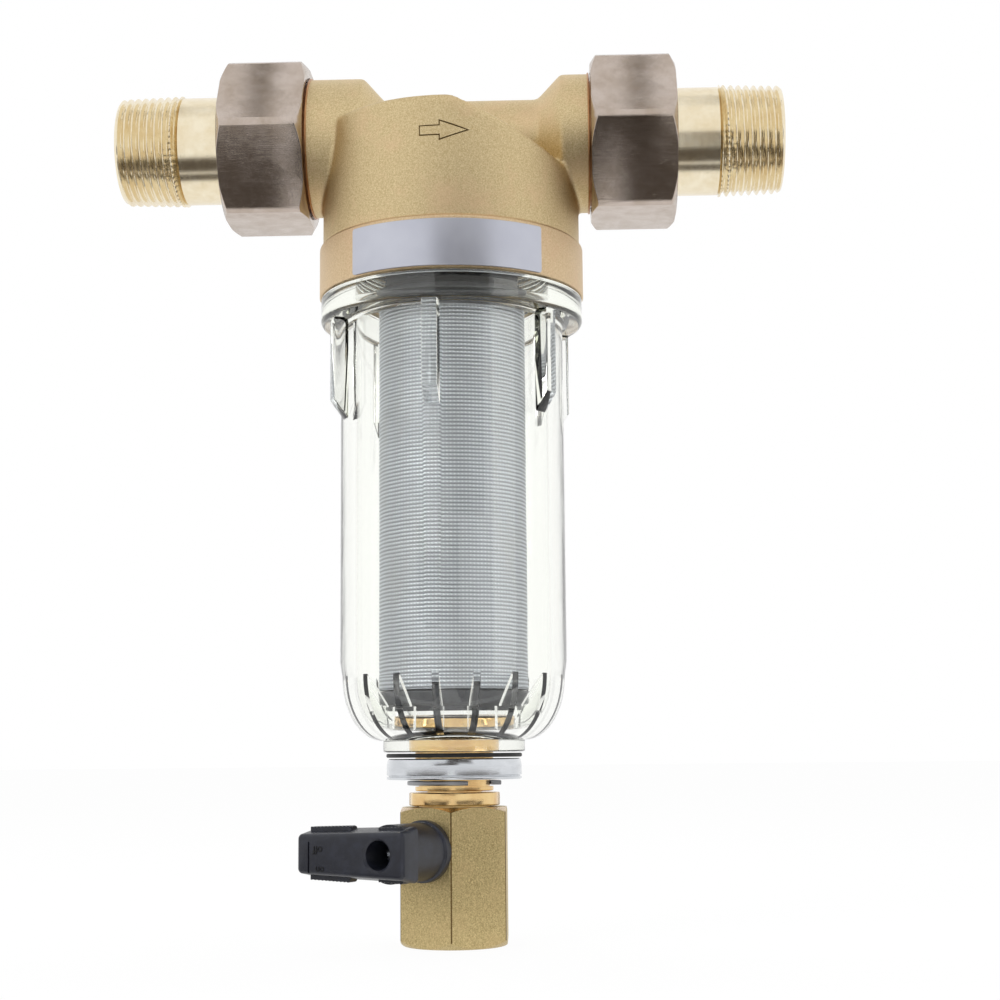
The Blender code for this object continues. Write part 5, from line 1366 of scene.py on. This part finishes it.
def make_world():
    """White room, shown white and a little weaker as light."""
    world = bpy.data.worlds.new("white_room")
    bpy.context.scene.world = world
    world.use_nodes = True
    tree = world.node_tree
    background = tree.nodes["Background"]
    background.inputs["Color"].default_value = (1, 1, 1, 1)
    strength = tree.nodes.new("ShaderNodeMapRange")
    tree.links.new(seen_directly(tree), strength.inputs["Value"])
    strength.inputs["To Min"].default_value = WORLD_LIGHT
    tree.links.new(strength.outputs["Result"], background.inputs["Strength"])


def stage_plane(name, corners, material):
    """Four-cornered plane that belongs to the studio."""
    mesh = bpy.data.meshes.new(name)
    mesh.from_pydata(corners, [], [(0, 1, 2, 3)])
    mesh.materials.append(material)
    plane = place_object(name, mesh)
    return plane


def make_floor():
    """Pale floor under the valve, lifted to the background's white where it is seen."""
    finish = Finish("floor_white", (246, 246, 246), 0.9)
    tree = finish.tree
    glow = tree.nodes.new("ShaderNodeEmission")
    mixed = tree.nodes.new("ShaderNodeMixShader")
    share = tree.nodes.new("ShaderNodeMapRange")
    tree.links.new(seen_directly(tree), share.inputs["Value"])
    share.inputs["To Max"].default_value = FLOOR_LIFT
    tree.links.new(share.outputs["Result"], mixed.inputs[0])
    tree.links.new(finish.shader.outputs[0], mixed.inputs[1])
    tree.links.new(glow.outputs[0], mixed.inputs[2])
    tree.links.new(mixed.outputs[0], tree.nodes["Material Output"].inputs["Surface"])
    square = rectangle(-FLOOR_REACH, FLOOR_REACH, -FLOOR_REACH, FLOOR_REACH)
    stage_plane("floor", [(x, y, VALVE_BOTTOM_Z * MM) for x, y in square], finish.material)


def studio_card(name, corners, colour=CARD_COLOUR):
    """Studio card that only shows in glossy surfaces."""
    finish = Finish(name, colour, 0.9)
    card = stage_plane(name, corners, finish.material)
    card.visible_camera = False
    card.visible_diffuse = False
    card.visible_transmission = False
    card.visible_shadow = False
    card.visible_volume_scatter = False


def level_card(name, left, right, near, far, height, colour=CARD_COLOUR):
    """Studio card that lies flat."""
    studio_card(name, [(x, y, height) for x, y in rectangle(left, right, near, far)], colour)


def upright_card(name, left, right, place, low, high):
    """Studio card that stands up across the view."""
    studio_card(name, [(x, place, z) for x, z in rectangle(left, right, low, high)])


def make_cards():
    """Cards beside the bowl that draw the dark bands on unions, steel ring and mesh."""
    height = VALVE_BOTTOM_Z * MM + 0.001
    for side, ends in CARD_SIDES.items():
        level_card("card_front_" + side, *ends, *CARD_FRONT, height)
        level_card("card_under_" + side, *ends, *CARD_UNDER, height)
    for side, ends in OVER_SIDES.items():
        level_card("card_over_" + side, *ends, *OVER_DEPTHS, OVER_HEIGHT, OVER_COLOUR)
    upright_card("card_mesh", *MESH_CARD)
    upright_card("card_ring", *RING_CARD)


def make_studio():
    """Camera, white room, floor, cards and lamps."""
    make_camera()
    make_world()
    make_floor()
    make_cards()
    for name, lamp in LAMPS.items():
        area_light(name, *lamp)
    bpy.context.scene.view_settings.view_transform = "Standard"


def dress_kept_nodes():
    """Better finishes on the CAD nodes that stay."""
    kept = {"fibre": ("inlet_gasket", "outlet_gasket"),
            "rubber": ("insert_seal", "bush_oring", "stem_oring"),
            "dark_plastic": ("support_cage",),
            "white_plastic": ("upper_seat", "lower_seat"),
            "stainless": ("valve_ball", "valve_stem")}
    for finish, names in kept.items():
        for name in names:
            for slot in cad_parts[name].material_slots:
                slot.material = FINISHES[finish]


def build():
    """Studio first, then the pieces from the head down."""
    make_studio()
    head_casting()
    head_band()
    flow_arrow()
    rating_label()
    for side, matrix in (("inlet", PIPE_LEFT), ("outlet", PIPE_RIGHT)):
        head_spigot(side + "_spigot", matrix)
        nipple(side, matrix)
        union_nut(side, matrix)
    for make in (clear_bowl, bowl_seal, screen, end_cap, collar, drain_bush, washer, steel_ring,
                 split_ring, end_collar, valve_hexagon, lever, switch_words, screw):
        make()
    dress_kept_nodes()


build()
